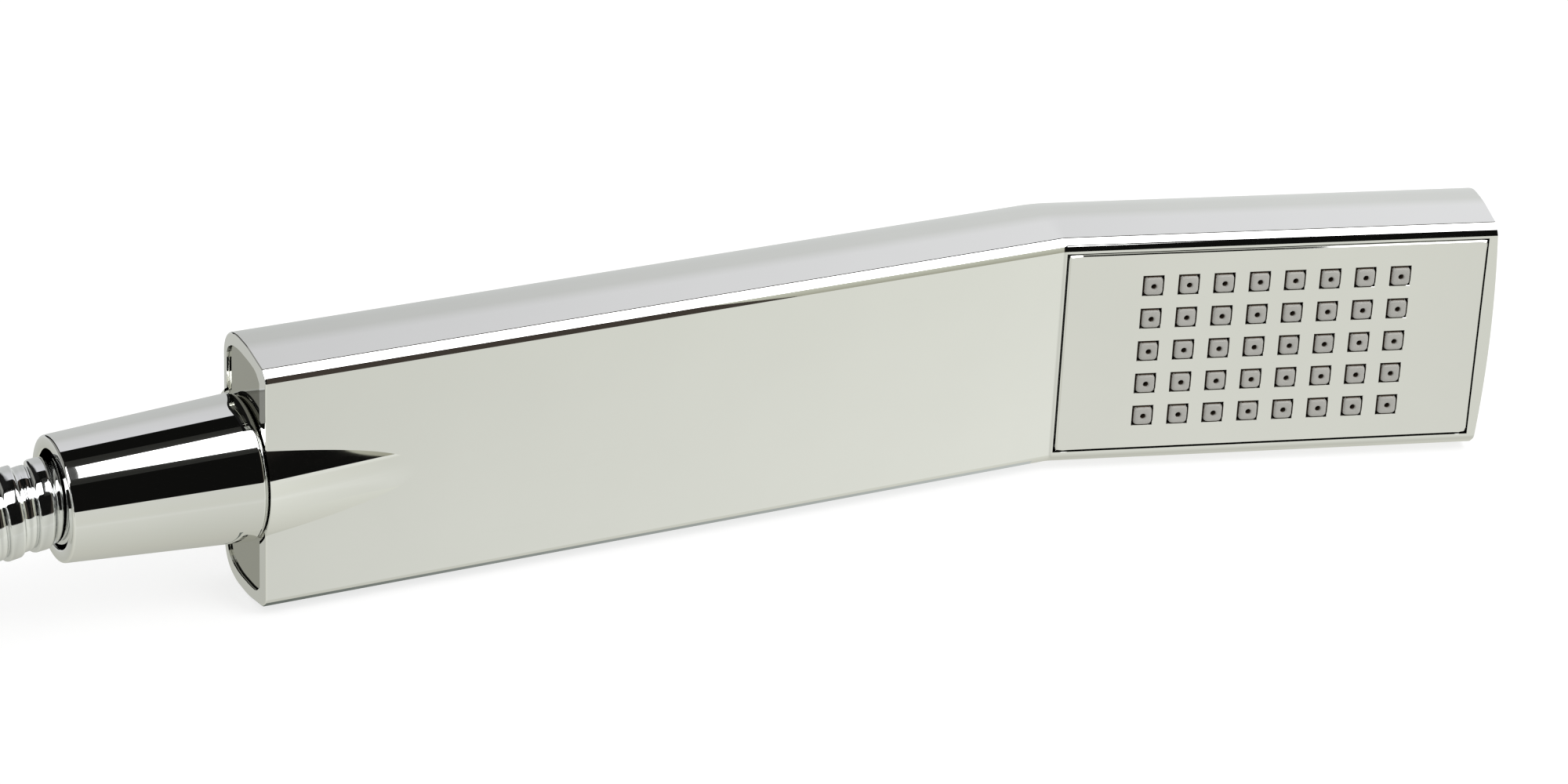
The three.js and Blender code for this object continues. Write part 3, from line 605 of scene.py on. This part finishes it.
def make_hose():
    points, directions, total = smooth_curve(hose_route(), HOSE_STEP * MM)
    total_mm = total / MM
    across = []
    for direction in directions:
        side = direction.cross(Vector((0, 0, 1))).normalized()
        across.append((side, side.cross(direction)))

    def at(s, radius, turn):
        share = min(1.0, max(0.0, s / total_mm)) * (len(points) - 1)
        low = min(int(share), len(points) - 2)
        part = share - low
        centre = points[low].lerp(points[low + 1], part)
        side = across[low][0].lerp(across[low + 1][0], part)
        up = across[low][1].lerp(across[low + 1][1], part)
        return centre + (side * math.cos(turn) + up * math.sin(turn)) * radius * MM

    rings = [
        (n * PITCH_LENGTH + along + STRIP_PHASE, radius)
        for n in range(-2, math.ceil(total_mm / PITCH_LENGTH) + 1) for along, radius in STRIP
    ]
    verts = []
    for along, radius in rings:
        for j in range(HOSE_SIDES):
            share = j / HOSE_SIDES
            verts.append(at(along + PITCH_LENGTH * share, radius, 2 * math.pi * share))
    per_turn = len(STRIP)
    faces = []
    for i in range(len(rings) - 1):
        for j in range(HOSE_SIDES):
            start = rings[i][0] + PITCH_LENGTH * j / HOSE_SIDES
            if start < -PITCH_LENGTH / HOSE_SIDES or start > total_mm:
                continue
            wraps = j + 1 == HOSE_SIDES
            if wraps and i + 1 + per_turn >= len(rings):
                continue
            a = i * HOSE_SIDES + j
            b = (i + per_turn) * HOSE_SIDES if wraps else a + 1
            faces.append((a, b, b + HOSE_SIDES, a + HOSE_SIDES))
    mesh = outward(mesh_of("hose", verts, faces), 0.005 * MM, fill=True)
    hose = piece(
        "metal_hose", mesh, hose_steel, "root", "hose_steel",
        "hose", "hose_turn_1", "hose_turn_2", "hose_top_turn", sharp=50,
    )
    return hose, points[::PATH_EVERY] + [points[-1]], total


hose, hose_path, hose_length = make_hose()

# ------ handset shell


def half_section():
    """(depth, width, tilt) from the front's edge to the rear's, tilt in radians."""
    tilt = math.radians(EDGE_TILT)
    half = [(0.0, 0.0, tilt)]
    for step in SECTION:
        depth, width, _ = half[-1]
        if step[0] == "line":
            half.append((depth + step[1] * math.sin(tilt), width + step[1] * math.cos(tilt), tilt))
            continue
        radius = step[1]
        end = math.radians(step[2])
        facets = max(2, round(math.degrees(end - tilt) / ARC_STEP))
        for i in range(1, facets + 1):
            t = tilt + (end - tilt) * i / facets
            half.append((
                depth + radius * (math.cos(tilt) - math.cos(t)),
                width + radius * (math.sin(t) - math.sin(tilt)),
                t,
            ))
        tilt = end
    front_half = HALF_WIDTH - max(width for _, width, _ in half)
    return [(depth, width + front_half, t) for depth, width, t in half]


def outer_section(inset=0.0):
    """The closed outline, moved inwards by inset, as (depth, width)."""
    return mirrored([
        (depth + inset * math.cos(tilt), width - inset * math.sin(tilt))
        for depth, width, tilt in half_section()
    ])


def mirrored(half):
    return half + [(depth, -width) for depth, width in reversed(half)]


def bent_sweep(name, section, starts, head_end, bend_steps):
    """A section carried from the tail along the handle, round the bend and on.

    starts is a list of (x, section) before the constant section begins."""
    tangent = BEND_RADIUS * math.tan(BEND / 2)
    loops = [[place(x, depth, width) for depth, width in points] for x, points in starts]
    for i in range(bend_steps + 1):
        turn = BEND * i / bend_steps
        loops.append([
            place(
                HANDLE_LENGTH - tangent + (BEND_RADIUS + depth) * math.sin(turn),
                (BEND_RADIUS + depth) * math.cos(turn) - BEND_RADIUS,
                width,
            )
            for depth, width in section
        ])
    loops.append([in_head(head_end, depth, width) for depth, width in section])
    return lofted(name, loops)


def trimmed_end(mesh):
    """Cuts the head's end to its arc, with a small round to the rear."""
    reach = HALF_WIDTH + 3
    beyond = HEAD_LENGTH + 30
    arc = math.asin(reach / END_RADIUS)
    steps = 48
    loops = []
    for depth, back in end_profile():
        ring = []
        for i in range(steps + 1):
            turn = arc * (2 * i / steps - 1)
            along = HEAD_LENGTH - back - END_RADIUS * (1 - math.cos(turn))
            ring.append(in_head(along, depth, END_RADIUS * math.sin(turn)))
        ring.append(in_head(beyond, depth, reach))
        ring.append(in_head(beyond, depth, -reach))
        loops.append(ring)
    return cut(mesh, lofted("end_cutter", loops), "DIFFERENCE")


def end_profile():
    """(depth, setback) of the end wall from before the front to behind the rear."""
    past = 3.0
    profile = [(THICKNESS - END_ROUND * b, END_ROUND * a) for a, b in quarter(12)]
    return [(-past, 0.0), *profile, (THICKNESS + past, END_ROUND)]


def fairing(name, length, face_distance, towards_rear):
    """The neck's boss, sinking into one face over that length."""
    sink = (FAIRING_RADIUS - face_distance) / length
    sign = 1 if towards_rear else -1
    loops = []
    for x in (0.0, length + 1.0):
        ring = []
        for _, c, s in circle(192):
            depth = NECK_DEPTH
            if c * sign > 0:
                depth += FAIRING_RADIUS * c - sign * sink * x
            ring.append(place(x, depth, FAIRING_RADIUS * s))
        loops.append(ring)
    return lofted(name, loops)


def make_shell():
    rim = [(RIM * a, outer_section(RIM * b)) for a, b in quarter(4)]
    mesh = bent_sweep("shell", outer_section(), rim, HEAD_LENGTH + 5, 20)
    mesh = trimmed_end(mesh)
    hollow = mirrored(HOLLOW)
    opening = corners_of(OPENING_START, -OPENING_HALF, OPENING_END, OPENING_HALF)
    for tool, operation in (
        (fairing("front_fairing", FRONT_FAIRING, NECK_DEPTH, False), "UNION"),
        (fairing("rear_fairing", REAR_FAIRING, THICKNESS - NECK_DEPTH, True), "UNION"),
        (bent_sweep("hollow", hollow, [(-1.0, hollow)], HEAD_LENGTH - END_WALL, 12), "DIFFERENCE"),
        (drum("nose", -1, INSERT_FRONT, NOSE_RADIUS), "DIFFERENCE"),
        (drum("bore", -1, NECK_BORE_DEPTH, NECK_BORE), "DIFFERENCE"),
        (lofted("opening", [
            [in_head(along, depth, width) for along, width in opening]
            for depth in (-2.0, OPENING_DEPTH)
        ]), "DIFFERENCE"),
    ):
        mesh = cut(mesh, tool, operation)
    piece(
        "chrome_shell", mesh, body_chrome, "root", "body_chrome", "body_shell",
        sharp=12, weighted=True,
    )


make_shell()

# ------ spray face

CELL_STEPS = 8  # points along each side of a hole's cell


def drawn_in(x, y, half_x, half_y, corner):
    """A point of a rectangle's edge, on the corner's round if it lies outside that."""
    over_x = max(0.0, abs(x) - (half_x - corner))
    over_y = max(0.0, abs(y) - (half_y - corner))
    reach = math.hypot(over_x, over_y)
    if over_x and over_y and reach > corner:
        x = math.copysign(half_x - corner + over_x * corner / reach, x)
        y = math.copysign(half_y - corner + over_y * corner / reach, y)
    return x, y


def square_ring(along, width, half_along, half_width, corner=0.0):
    """Points round a square, evenly along its sides, with its corners drawn in."""
    ring = []
    for side in range(4):
        for i in range(CELL_STEPS):
            t = 2 * i / CELL_STEPS - 1
            a, b = ((t, -1), (1, t), (-t, 1), (-1, -t))[side]
            x, y = drawn_in(a * half_along, b * half_width, half_along, half_width, corner)
            ring.append((along + x, width + y))
    return ring


def disc_ring(along, width, radius):
    """As many points round a circle, matched in direction to square_ring's."""
    ring = []
    for x, y in square_ring(0, 0, 1, 1):
        turn = math.atan2(y, x)
        ring.append((along + radius * math.cos(turn), width + radius * math.sin(turn)))
    return ring


def window_places():
    for row in range(ROWS):
        for column in range(COLUMNS):
            yield (GRID_CENTRE + (column - (COLUMNS - 1) / 2) * PITCH,
                   (row - (ROWS - 1) / 2) * ROW_PITCH)


def grid_edge():
    """The points round the whole grid of cells, in order."""
    half_along = COLUMNS * PITCH / 2
    half_width = ROWS * ROW_PITCH / 2
    corners = corners_of(-half_along, -half_width, half_along, half_width)
    counts = (COLUMNS * CELL_STEPS, ROWS * CELL_STEPS) * 2
    ring = []
    for side in range(4):
        x0, y0 = corners[side]
        x1, y1 = corners[(side + 1) % 4]
        for i in range(counts[side]):
            t = i / counts[side]
            ring.append((GRID_CENTRE + x0 + (x1 - x0) * t, y0 + (y1 - y0) * t))
    return ring


def spread_to(x0, x1, half, radius, inset=0.0):
    """For each point of grid_edge, its place on a round-cornered rectangle outside."""
    centre = (x0 + x1) / 2
    half_x = (x1 - x0) / 2 - inset
    half_y = half - inset
    stretch_x = half_x / (COLUMNS * PITCH / 2)
    stretch_y = half_y / (ROWS * ROW_PITCH / 2)
    ring = []
    for x, y in grid_edge():
        a, b = drawn_in((x - GRID_CENTRE) * stretch_x, y * stretch_y, half_x, half_y, radius)
        ring.append((centre + a, b))
    return ring


def perforated(name, cell_levels, edge_levels):
    """A sheet made of cells that join at their edges, and of an outer rim.

    cell_levels gives one cell's [(ring, depth)] from the front round to the back, and
    edge_levels the rim's."""
    points = []
    faces = []

    def add(levels):
        start = len(points)
        for ring, depth in levels:
            points.extend(in_head(a, depth, b) for a, b in ring)
        for quad in tube_faces(len(levels), len(ring)):
            faces.append(tuple(start + v for v in quad))

    for along, width in window_places():
        add(cell_levels(along, width))
    add(edge_levels)
    return outward(mesh_of(name, points, faces), 0.001 * MM)


HEAD_AXIS = Vector((math.cos(BEND), -math.sin(BEND), 0))
HEAD_NORMAL = Vector((math.sin(BEND), math.cos(BEND), 0))


def paint_walls(mesh, material, from_depth, outside=0.0):
    """Gives the walls across the head's face that start behind from_depth a material.

    With outside, those at its ends count, and those further than that from its middle."""
    mesh.materials.append(material)
    margin = 2
    origin = in_head(0, 0)
    for polygon in mesh.polygons:
        if abs(polygon.normal.dot(HEAD_NORMAL)) > 0.1:
            continue
        offset = polygon.center - origin
        depth = min((mesh.vertices[v].co - origin).dot(HEAD_NORMAL) for v in polygon.vertices)
        if depth / MM < from_depth:
            continue
        along = offset.dot(HEAD_AXIS) / MM
        inside = OPENING_START + margin < along < OPENING_END - margin
        if inside and abs(offset.z / MM) < outside:
            continue
        polygon.material_index = 1


def make_plate():
    half = WINDOW / 2
    nick = 0.06

    def cell(along, width):
        edge = square_ring(along, width, PITCH / 2, ROW_PITCH / 2)
        return [
            (edge, 0.0),
            (square_ring(along, width, half + nick, half + nick), 0.0),
            (square_ring(along, width, half, half), nick),
            (square_ring(along, width, half, half), PLATE_THICKNESS),
            (edge, PLATE_THICKNESS),
        ]

    def outline(inset):
        ring = spread_to(PLATE_START, PLATE_END, PLATE_HALF, PLATE_CORNER, inset)
        return [(along, width + PLATE_SHIFT) for along, width in ring]

    rim = [
        (grid_edge(), 0.0), (outline(PLATE_CHAMFER), 0.0), (outline(0.0), PLATE_CHAMFER),
        (outline(0.0), PLATE_THICKNESS), (grid_edge(), PLATE_THICKNESS),
    ]
    mesh = perforated("plate", cell, rim)
    piece(
        "spray_plate", mesh, plate_chrome, "root", "plate_chrome", "face_plate",
        sharp=20, weighted=True,
    )
    # paints shade on the plate's edge walls, in the gap round it
    paint_walls(mesh, gap_painted_shade, PLATE_CHAMFER * 0.9, OPENING_HALF - 1)


def make_nozzles():
    def cell(along, width):
        edge = square_ring(along, width, PITCH / 2, ROW_PITCH / 2)
        levels = [(edge, MAT_FRONT)]
        for half, depth, corner in NOZZLE_OUTSIDE:
            levels.append((square_ring(along, width, half, half, corner), depth))
        for radius, depth in NOZZLE_HOLE:
            levels.append((disc_ring(along, width, radius), depth))
        levels.append((edge, MAT_BACK))
        return levels

    outline = spread_to(MAT_START, MAT_END, MAT_HALF, MAT_CORNER)
    rim = [
        (grid_edge(), MAT_FRONT), (outline, MAT_FRONT),
        (outline, MAT_BACK), (grid_edge(), MAT_BACK),
    ]
    mesh = perforated("nozzles", cell, rim)
    piece("nozzle_sheet", mesh, nozzle_silicone, "root", "nozzle_silicone", "nozzle_mat", sharp=40)
    # paints shade down the holes and down the pads' sides
    paint_walls(mesh, nozzle_painted_shade, NOZZLE_DARK_FROM)


make_plate()
make_nozzles()

# ------ tail insert and nut


def make_insert():
    """The glossy grey piece that closes the tail, a hair clear of the shell."""
    gap = 0.1
    front = HOLLOW[0][0] + gap
    rear = HOLLOW[-1][0] - gap
    half = [(min(max(depth, front), rear), width - gap) for depth, width in HOLLOW]
    section = mirrored(half)
    centre_depth = sum(depth for depth, _ in section) / len(section)

    def inset(amount):
        moved = []
        for depth, width in section:
            off = depth - centre_depth
            moved.append((
                depth - math.copysign(min(amount, abs(off)), off),
                width - math.copysign(amount, width),
            ))
        return moved

    loops = []
    for x, amount in ((INSERT_FRONT, 0.2), (INSERT_FRONT + 0.06, 0.06), (INSERT_FRONT + 0.2, 0.0),
                      (INSERT_BACK, 0.0)):
        loops.append([place(x, depth, width) for depth, width in inset(amount)])
    mesh = lofted("insert", loops)
    mesh = cut(mesh, drum("collar", INSERT_FRONT, INSERT_BACK, NECK_BORE - gap), "UNION")
    hole = drum("hole", INSERT_FRONT - 1, INSERT_BACK + 1, SPIGOT_RADIUS + gap)
    mesh = cut(mesh, hole, "DIFFERENCE")
    piece("tail_insert", mesh, grey_insert, "root", "grey_insert", "tail_plate", weighted=True)


def make_nut():
    profile = rounded([
        (NUT_INNER_END, NUT_RADIUS + NUT_TAPER * NUT_INNER_END, 1.1),
        (NUT_OUTER_END, NUT_RADIUS + NUT_TAPER * NUT_OUTER_END, 0.45),
        (NUT_OUTER_END, NUT_BORE, 0.35),
        (NUT_STEP, NUT_BORE, 0), (NUT_STEP, NUT_ROOM, 0), (NUT_SEAT, NUT_ROOM, 0),
        (NUT_SEAT + 0.5, NUT_THREAD, 0), (NUT_INNER_END, NUT_THREAD, 0.2),
    ], 8)
    mesh = lathe("nut", profile, place(0, NECK_DEPTH), 192)
    piece("cone_sleeve", mesh, nut_chrome, "hose_cone", "nut_chrome", "cone_nut", weighted=True)


make_insert()
make_nut()

# ------ supply end and ties


def supply_point():
    height = FLOOR_HEIGHT + 2 * LAYER + SUPPLY_LIFT
    return place(SUPPLY_X, FAR_SIDE, height - HALF_WIDTH)


def make_supply_nut():
    """The ribbed union nut, with turned ends and a thread inside."""
    start, end, radius = -5.0, 11.0, SUPPLY_NUT_RADIUS
    ribs = 22
    rib_height = 0.55
    bore, thread, room = 7.0, 10.2, 9.9
    room_start, room_end = -1.9, 3.4
    edge = 1.3  # length of the turned ends
    low = radius - 1.1
    profile = rounded([
        (start, bore, 0.2), (start, low, 0.5), (start + edge, radius, 0.3),
        (end - edge, radius, 0.3), (end, low, 0.5), (end, thread + 0.5, 0),
        (end - 0.6, thread, 0), (room_end + 0.2, thread, 0), (room_end, room, 0),
        (room_start, room, 0), (room_start, bore, 0),
    ], 5)

    def groove(x, r, turn):
        if r <= radius - 1 or not start + 1 < x < end - 1:
            return 0
        return rib_height * (1 - min(1.0, 0.8 * (1 + math.cos(turn * ribs))))

    mesh = lathe("union", profile, supply_point(), ribs * 12, groove)
    return piece("union_nut", mesh, nut_chrome, "supply_union", "nut_chrome", "supply_nut")


FERRULE = [  # (x from the nut's middle, radius, rounding)
    (-21.7, 7.25, 0), (-21.7, 7.75, 0.2), (-20.9, 8.0, 0.3), (-17.2, 8.0, 0.5),
    (-16.5, 7.55, 0.4), (-15.1, 7.55, 0.4), (-14.4, 8.0, 0.5), (-7.4, 8.0, 0.4),
    (-6.6, 7.5, 0.3), (-5.3, 7.4, 0.1), (-5.3, 4.5, 0), (-18.0, 4.5, 0), (-18.0, 7.25, 0),
]


def make_ferrule():
    """The pressed sleeve on the hose's supply end."""
    mesh = lathe("ferrule", rounded(FERRULE, 5), supply_point(), 96)
    return piece("supply_sleeve", mesh, ferrule_steel, "root", "ferrule_steel", "supply_ferrule")


def make_tie(name, x, depth, node):
    """A ribbed strap round the three turns that lie on top of each other."""
    thick = 1.0
    width = 8.0
    inner = HOSE_RADIUS + 0.25
    top = FLOOR_HEIGHT + 2 * LAYER
    rib_pitch = 1.1
    loop = []  # (across, height, outward across, outward height)
    for centre, start in ((top, 0.0), (FLOOR_HEIGHT, math.pi)):
        steps = round(math.pi * inner / rib_pitch) * 2
        for i in range(steps + 1):
            turn = start + math.pi * i / steps
            loop.append((inner * math.cos(turn), centre + inner * math.sin(turn),
                         math.cos(turn), math.sin(turn)))
        side = 1 if start else -1
        rise = top - FLOOR_HEIGHT
        steps = round(rise / rib_pitch) * 2
        for i in range(1, steps):
            loop.append((side * inner, centre + side * (rise * (i / steps)), side, 0.0))
    section = rounded([(-width / 2, 0, 0.25), (width / 2, 0, 0.25), (width / 2, thick, 0.35),
                       (-width / 2, thick, 0.35)], 3)
    points = []
    for index, (across, height, out_across, out_height) in enumerate(loop):
        dip = 0.18 if index % 2 else 0.0
        for along, lift in section:
            if lift > thick / 2 and abs(along) < width / 2 - 0.9:
                lift -= dip
            points.append(place(
                x + along, depth + across + lift * out_across,
                height + lift * out_height - HALF_WIDTH,
            ))
    mesh = outward(mesh_of(name, points, tube_faces(len(loop), len(section), closed=True)))
    return piece(name, mesh, tie_strap, "root", "tie_strap", node, sharp=45)


union_nut = make_supply_nut()
sleeve = make_ferrule()
ties = [
    make_tie("hank_strap_1", *TIE_PLACES[0], "hank_tie_1"),
    make_tie("hank_strap_2", *TIE_PLACES[1], "hank_tie_2"),
]

# ------ CAD pieces that stay

KEPT = [
    (white_plastic, ("spray_base", "water_chamber", "waterway_tube", "flow_regulator")),
    (seal_rubber, ("chamber_seal", "inlet_oring", "inlet_washer", "supply_washer")),
    (brass_metal, ("inlet_spigot", "hose_tail", "supply_tail")),
    (ferrule_steel, ("hose_ferrule",)),
    (screw_steel, ("face_screw_1", "face_screw_2", "face_screw_3", "face_screw_4")),
]

for material, names in KEPT:
    for kept in (nodes[name] for name in names):
        if not kept.material_slots:
            kept.data.materials.append(material)
        for slot in kept.material_slots:
            slot.material = material

# ------ surroundings


def linear(*channels):
    """Linear light from display values of 0 to 255."""
    result = []
    for value in channels:
        v = value / 255
        result.append(v / 12.92 if v <= 0.04045 else ((v + 0.055) / 1.055) ** 2.4)
    return result


MIRROR = 0.86  # share of light that the chrome gives back


def shown(*channels):
    """The light that the chrome shows as these display values."""
    return [value / MIRROR for value in linear(*channels)]


# What the chrome sees of the floor and then of the backdrop, by direction: degrees up
# from straight ahead (-Y), turning over the top towards the back.
# The dip round -150 degrees is painted shadow: the object's own shade on the floor under and
# behind it.
FLOOR_TONES = [
    (-180, 200, 202, 201), (-157, 200, 201, 198), (-150, 180, 181, 173), (-100, 198, 198, 188),
    (-60, 207, 208, 199), (-34, 214, 215, 207), (-30.3, 219, 220, 213), (-27, 213, 214, 206),
    (-22, 212, 213, 204), (110, 219, 219, 223), (134, 215, 215, 217), (150, 199, 200, 199),
    (180, 200, 202, 201),
]

# How bright they are by their direction's share along X, as ranges (from, to) of it
# and of the gain.
LEFT_GAIN = ((0.06, 0.28), (1.13, 1.0))
RIGHT_GAIN = ((0.30, 0.52), (0.85, 1.09))

# The dark wall between them, with a dim part, and a long light in front of it.
HORIZON = -1.6
WALL_TOP = 114.0
WALL_EDGE = 0.5  # degrees of its soft edge, and of the light's
WALL = (14, 14, 13)
WALL_GLOW = (62, 56, 51)
GLOW_BAND = (0.30, 0.445, 0.06)  # from, to and soft edge along X
STRIP_LIGHT = [3.2] * 3
STRIP_FROM = 51.0
STRIP_TO = 81.0
STRIP_END = 0.198  # its slanting left end, where it is that far up:
STRIP_END_AT = 60.5
STRIP_END_SLANT = -0.0094  # per degree up from there
STRIP_END_LEAST = 0.14
STRIP_END_EDGE = 0.002
SECOND_LIGHT = (0.11, 0.02)  # another one fills the same band left of this

# Behind on the left the room is dark above the floor, and dim further round.
BEHIND = (0.02, 0.02)  # where it begins along Y, and its soft edge
BEHIND_LOW = (-0.05, 0.03)  # the same for its height
BEHIND_FADE = (0.04, 0.1)  # along X
DUSK_FADE = (-0.36, -0.32)
DARK = [0.012] * 3
DUSK = [0.3, 0.3, 0.28]
ROOM_LIGHT = [0.95] * 3  # on everything that is not a mirror
WHITE = [1.0] * 3

# Cards that only reflections show, bent round the object's length: their radius in
# metres, and (x in metres, degrees up) of their corners, low left, low right, high
# right and high left.
GREY_CARD = (0.763, (0.453, HORIZON), (4.0, HORIZON), (4.0, STRIP_FROM), (0.405, STRIP_FROM))
NEAR_LIGHT = (0.50, (0.0548, 55.8), (0.16, 48.0), (0.16, 86.0), (0.0583, 76.6))
NEAR_FLAG = (0.52, (0.036, 45.0), (0.162, 45.0), (0.162, 90.0), (0.036, 90.0))

# A painted shadow under the handle, which only reflections show: in metres but for its end, which
# is in mm before the bend.
SHADE_FRONT = -0.0007
SHADE_REAR = 0.0165
SHADE_END = 2
SHADE_Z = -0.0001
FLOOR_Z = -0.0002

LAMP_PLACE = Vector((0.5, -0.7, 1.1))
LAMP_TARGET = Vector((0, 0, 0.02))
LAMP_SIZE = 0.8
LAMP_POWER = 9


class World(Graph):
    """The world's light, with short ways to reckon with directions and colours."""

    def __init__(self):
        world = bpy.data.worlds.new("studio")
        bpy.context.scene.world = world
        world.use_nodes = True
        self.tree = world.node_tree
        self.tree.nodes.clear()
        split = self.node("ShaderNodeSeparateXYZ")
        self.join(self.node("ShaderNodeTexCoord").outputs["Generated"], split.inputs[0])
        self.x, self.y, self.z = split.outputs
        ahead = self.math("MULTIPLY", self.y, -1.0)
        turn = self.math("ARCTAN2", self.z, ahead)
        self.angle = self.math("MULTIPLY", turn, 180 / math.pi)

    def math(self, operation, a, b=None):
        made = self.node("ShaderNodeMath", operation=operation)
        for index, value in enumerate((a, b)):
            if value is None:
                continue
            if isinstance(value, (int, float)):
                made.inputs[index].default_value = value
            else:
                self.join(value, made.inputs[index])
        return made.outputs[0]

    def step(self, value, edge, width):
        """0 below the edge and 1 above it, over that width."""
        source = (edge - width / 2, edge + width / 2)
        return self.span(value, source, (0, 1), interpolation_type="SMOOTHSTEP")

    def below(self, value, edge, width):
        return self.math("SUBTRACT", 1.0, self.step(value, edge, width))

    def between(self, value, low, high, width):
        return self.math("MULTIPLY", self.step(value, low, width), self.below(value, high, width))

    def scaled(self, colour, factor):
        made = self.node("ShaderNodeVectorMath", operation="SCALE")
        self.join(colour, made.inputs[0])
        self.join(factor, made.inputs["Scale"])
        return made.outputs["Vector"]


def floor_tones(world):
    ramp = world.node("ShaderNodeValToRGB")
    share = world.math("DIVIDE", world.math("ADD", world.angle, 180.0), 360.0)
    world.join(share, ramp.inputs["Fac"])
    elements = ramp.color_ramp.elements
    while len(elements) > 1:
        elements.remove(elements[-1])
    for index, (degrees, *tone) in enumerate(FLOOR_TONES):
        where = (degrees + 180) / 360
        element = elements[0] if index == 0 else elements.new(where)
        element.position = where
        element.color = (*shown(*tone), 1)
    return ramp.outputs["Color"]


def pale_parts(world):
    gain = world.math(
        "MULTIPLY", world.span(world.x, *LEFT_GAIN), world.span(world.x, *RIGHT_GAIN),
    )
    return world.scaled(floor_tones(world), gain)


def strip_shape(world):
    """1 where the long light is, or the one left of it."""
    higher = world.math("SUBTRACT", world.angle, STRIP_END_AT)
    end = world.math("ADD", STRIP_END, world.math("MULTIPLY", STRIP_END_SLANT, higher))
    end = world.math("MAXIMUM", end, STRIP_END_LEAST)
    right = world.step(world.math("SUBTRACT", world.x, end), 0.0, STRIP_END_EDGE)
    beyond = world.math("MAXIMUM", right, world.below(world.x, *SECOND_LIGHT))
    band = world.between(world.angle, STRIP_FROM, STRIP_TO, WALL_EDGE)
    return world.math("MULTIPLY", band, beyond)


def behind_shape(world):
    behind = world.math("MULTIPLY", world.step(world.y, *BEHIND), world.step(world.z, *BEHIND_LOW))
    return world.math("MULTIPLY", behind, world.span(world.x, BEHIND_FADE, (1.0, 0.0)))


def make_world():
    """A pale floor and backdrop, and between them a dark wall with one long light."""
    world = World()
    dark = world.mix(world.between(world.x, *GLOW_BAND), shown(*WALL), shown(*WALL_GLOW))
    wall = world.between(world.angle, HORIZON, WALL_TOP, WALL_EDGE)
    seen = world.mix(wall, pale_parts(world), dark)
    seen = world.mix(strip_shape(world), seen, STRIP_LIGHT)
    dusk = world.mix(world.span(world.x, DUSK_FADE, (1.0, 0.0)), DARK, DUSK)
    seen = world.mix(behind_shape(world), seen, dusk)
    path = world.node("ShaderNodeLightPath")
    seen = world.mix(path.outputs["Is Glossy Ray"], ROOM_LIGHT, seen)
    seen = world.mix(path.outputs["Is Camera Ray"], seen, WHITE)
    background = world.node("ShaderNodeBackground")
    output = world.node("ShaderNodeOutputWorld")
    world.join(seen, background.inputs["Color"])
    world.join(background.outputs[0], output.inputs["Surface"])


def stage_card(name, points, faces, material):
    card = new_object(name, mesh_of(name, points, faces), material)
    card.visible_camera = False
    card.visible_diffuse = False
    card.visible_shadow = False


def make_card(name, shape, low, high):
    """A card that only reflections show, shining from the colour low to high upwards."""
    radius, *corners = shape
    across, up = 12, 24
    points = []
    for i in range(up + 1):
        v = i / up
        for j in range(across + 1):
            u = j / across
            weights = ((1 - u) * (1 - v), u * (1 - v), u * v, (1 - u) * v)
            x = sum(w * corner[0] for w, corner in zip(weights, corners))
            turn = math.radians(sum(w * corner[1] for w, corner in zip(weights, corners)))
            points.append(TAIL + Vector((x, -radius * math.cos(turn), radius * math.sin(turn))))
    starts = [i * (across + 1) + j for i in range(up) for j in range(across)]
    faces = [(k, k + 1, k + across + 2, k + across + 1) for k in starts]
    s = Shader(name)
    s.glow(low, high, radius)
    stage_card(name, points, faces, s.material)


def make_painted_shadow():
    """The painted shadow under the handle: a card glowing from dark to pale, which the bevel by
    the floor shows.
    """
    start = TAIL.x
    end = start + (HANDLE_LENGTH - SHADE_END) * MM
    s = Shader("shade")
    s.glow(shown(96, 101, 96), shown(178, 182, 180), end, "X", start)
    corners = [(x, y, SHADE_Z) for x, y in corners_of(start, SHADE_FRONT, end, SHADE_REAR)]
    stage_card("shade", corners, [(0, 1, 2, 3)], s.material)


def make_cards():
    make_painted_shadow()
    make_card("grey_card", GREY_CARD, shown(147, 146, 130), shown(196, 198, 184))
    make_card("near_light", NEAR_LIGHT, STRIP_LIGHT, STRIP_LIGHT)
    make_card("near_flag", NEAR_FLAG, linear(*WALL), linear(*WALL))


def make_floor():
    size = 6.0
    corners = [(x, y, 0) for x, y in corners_of(-size, -size, size, size)]
    mesh = mesh_of("floor", corners, [(0, 1, 2, 3)])
    s = Shader("floor_white")
    s.set(Base_Color=(0.3, 0.3, 0.3, 1), Roughness=1.0, Specular_IOR_Level=0.0)
    s.set(Emission_Color=(1, 1, 1, 1), Emission_Strength=0.72)
    obj = new_object("floor", mesh, s.material)
    obj.location.z = FLOOR_Z
    obj.visible_glossy = False


def make_lamp():
    data = bpy.data.lights.new("key", "AREA")
    data.shape = "SQUARE"
    data.size = LAMP_SIZE
    data.energy = LAMP_POWER
    lamp = bpy.data.objects.new("key", data)
    bpy.context.collection.objects.link(lamp)
    lamp.location = LAMP_PLACE
    towards = LAMP_TARGET - LAMP_PLACE
    lamp.rotation_euler = towards.to_track_quat("-Z", "Y").to_euler()
    lamp.visible_glossy = False
    lamp.visible_camera = False


bpy.context.scene.view_settings.view_transform = "Standard"
make_world()
make_cards()
make_floor()
make_lamp()
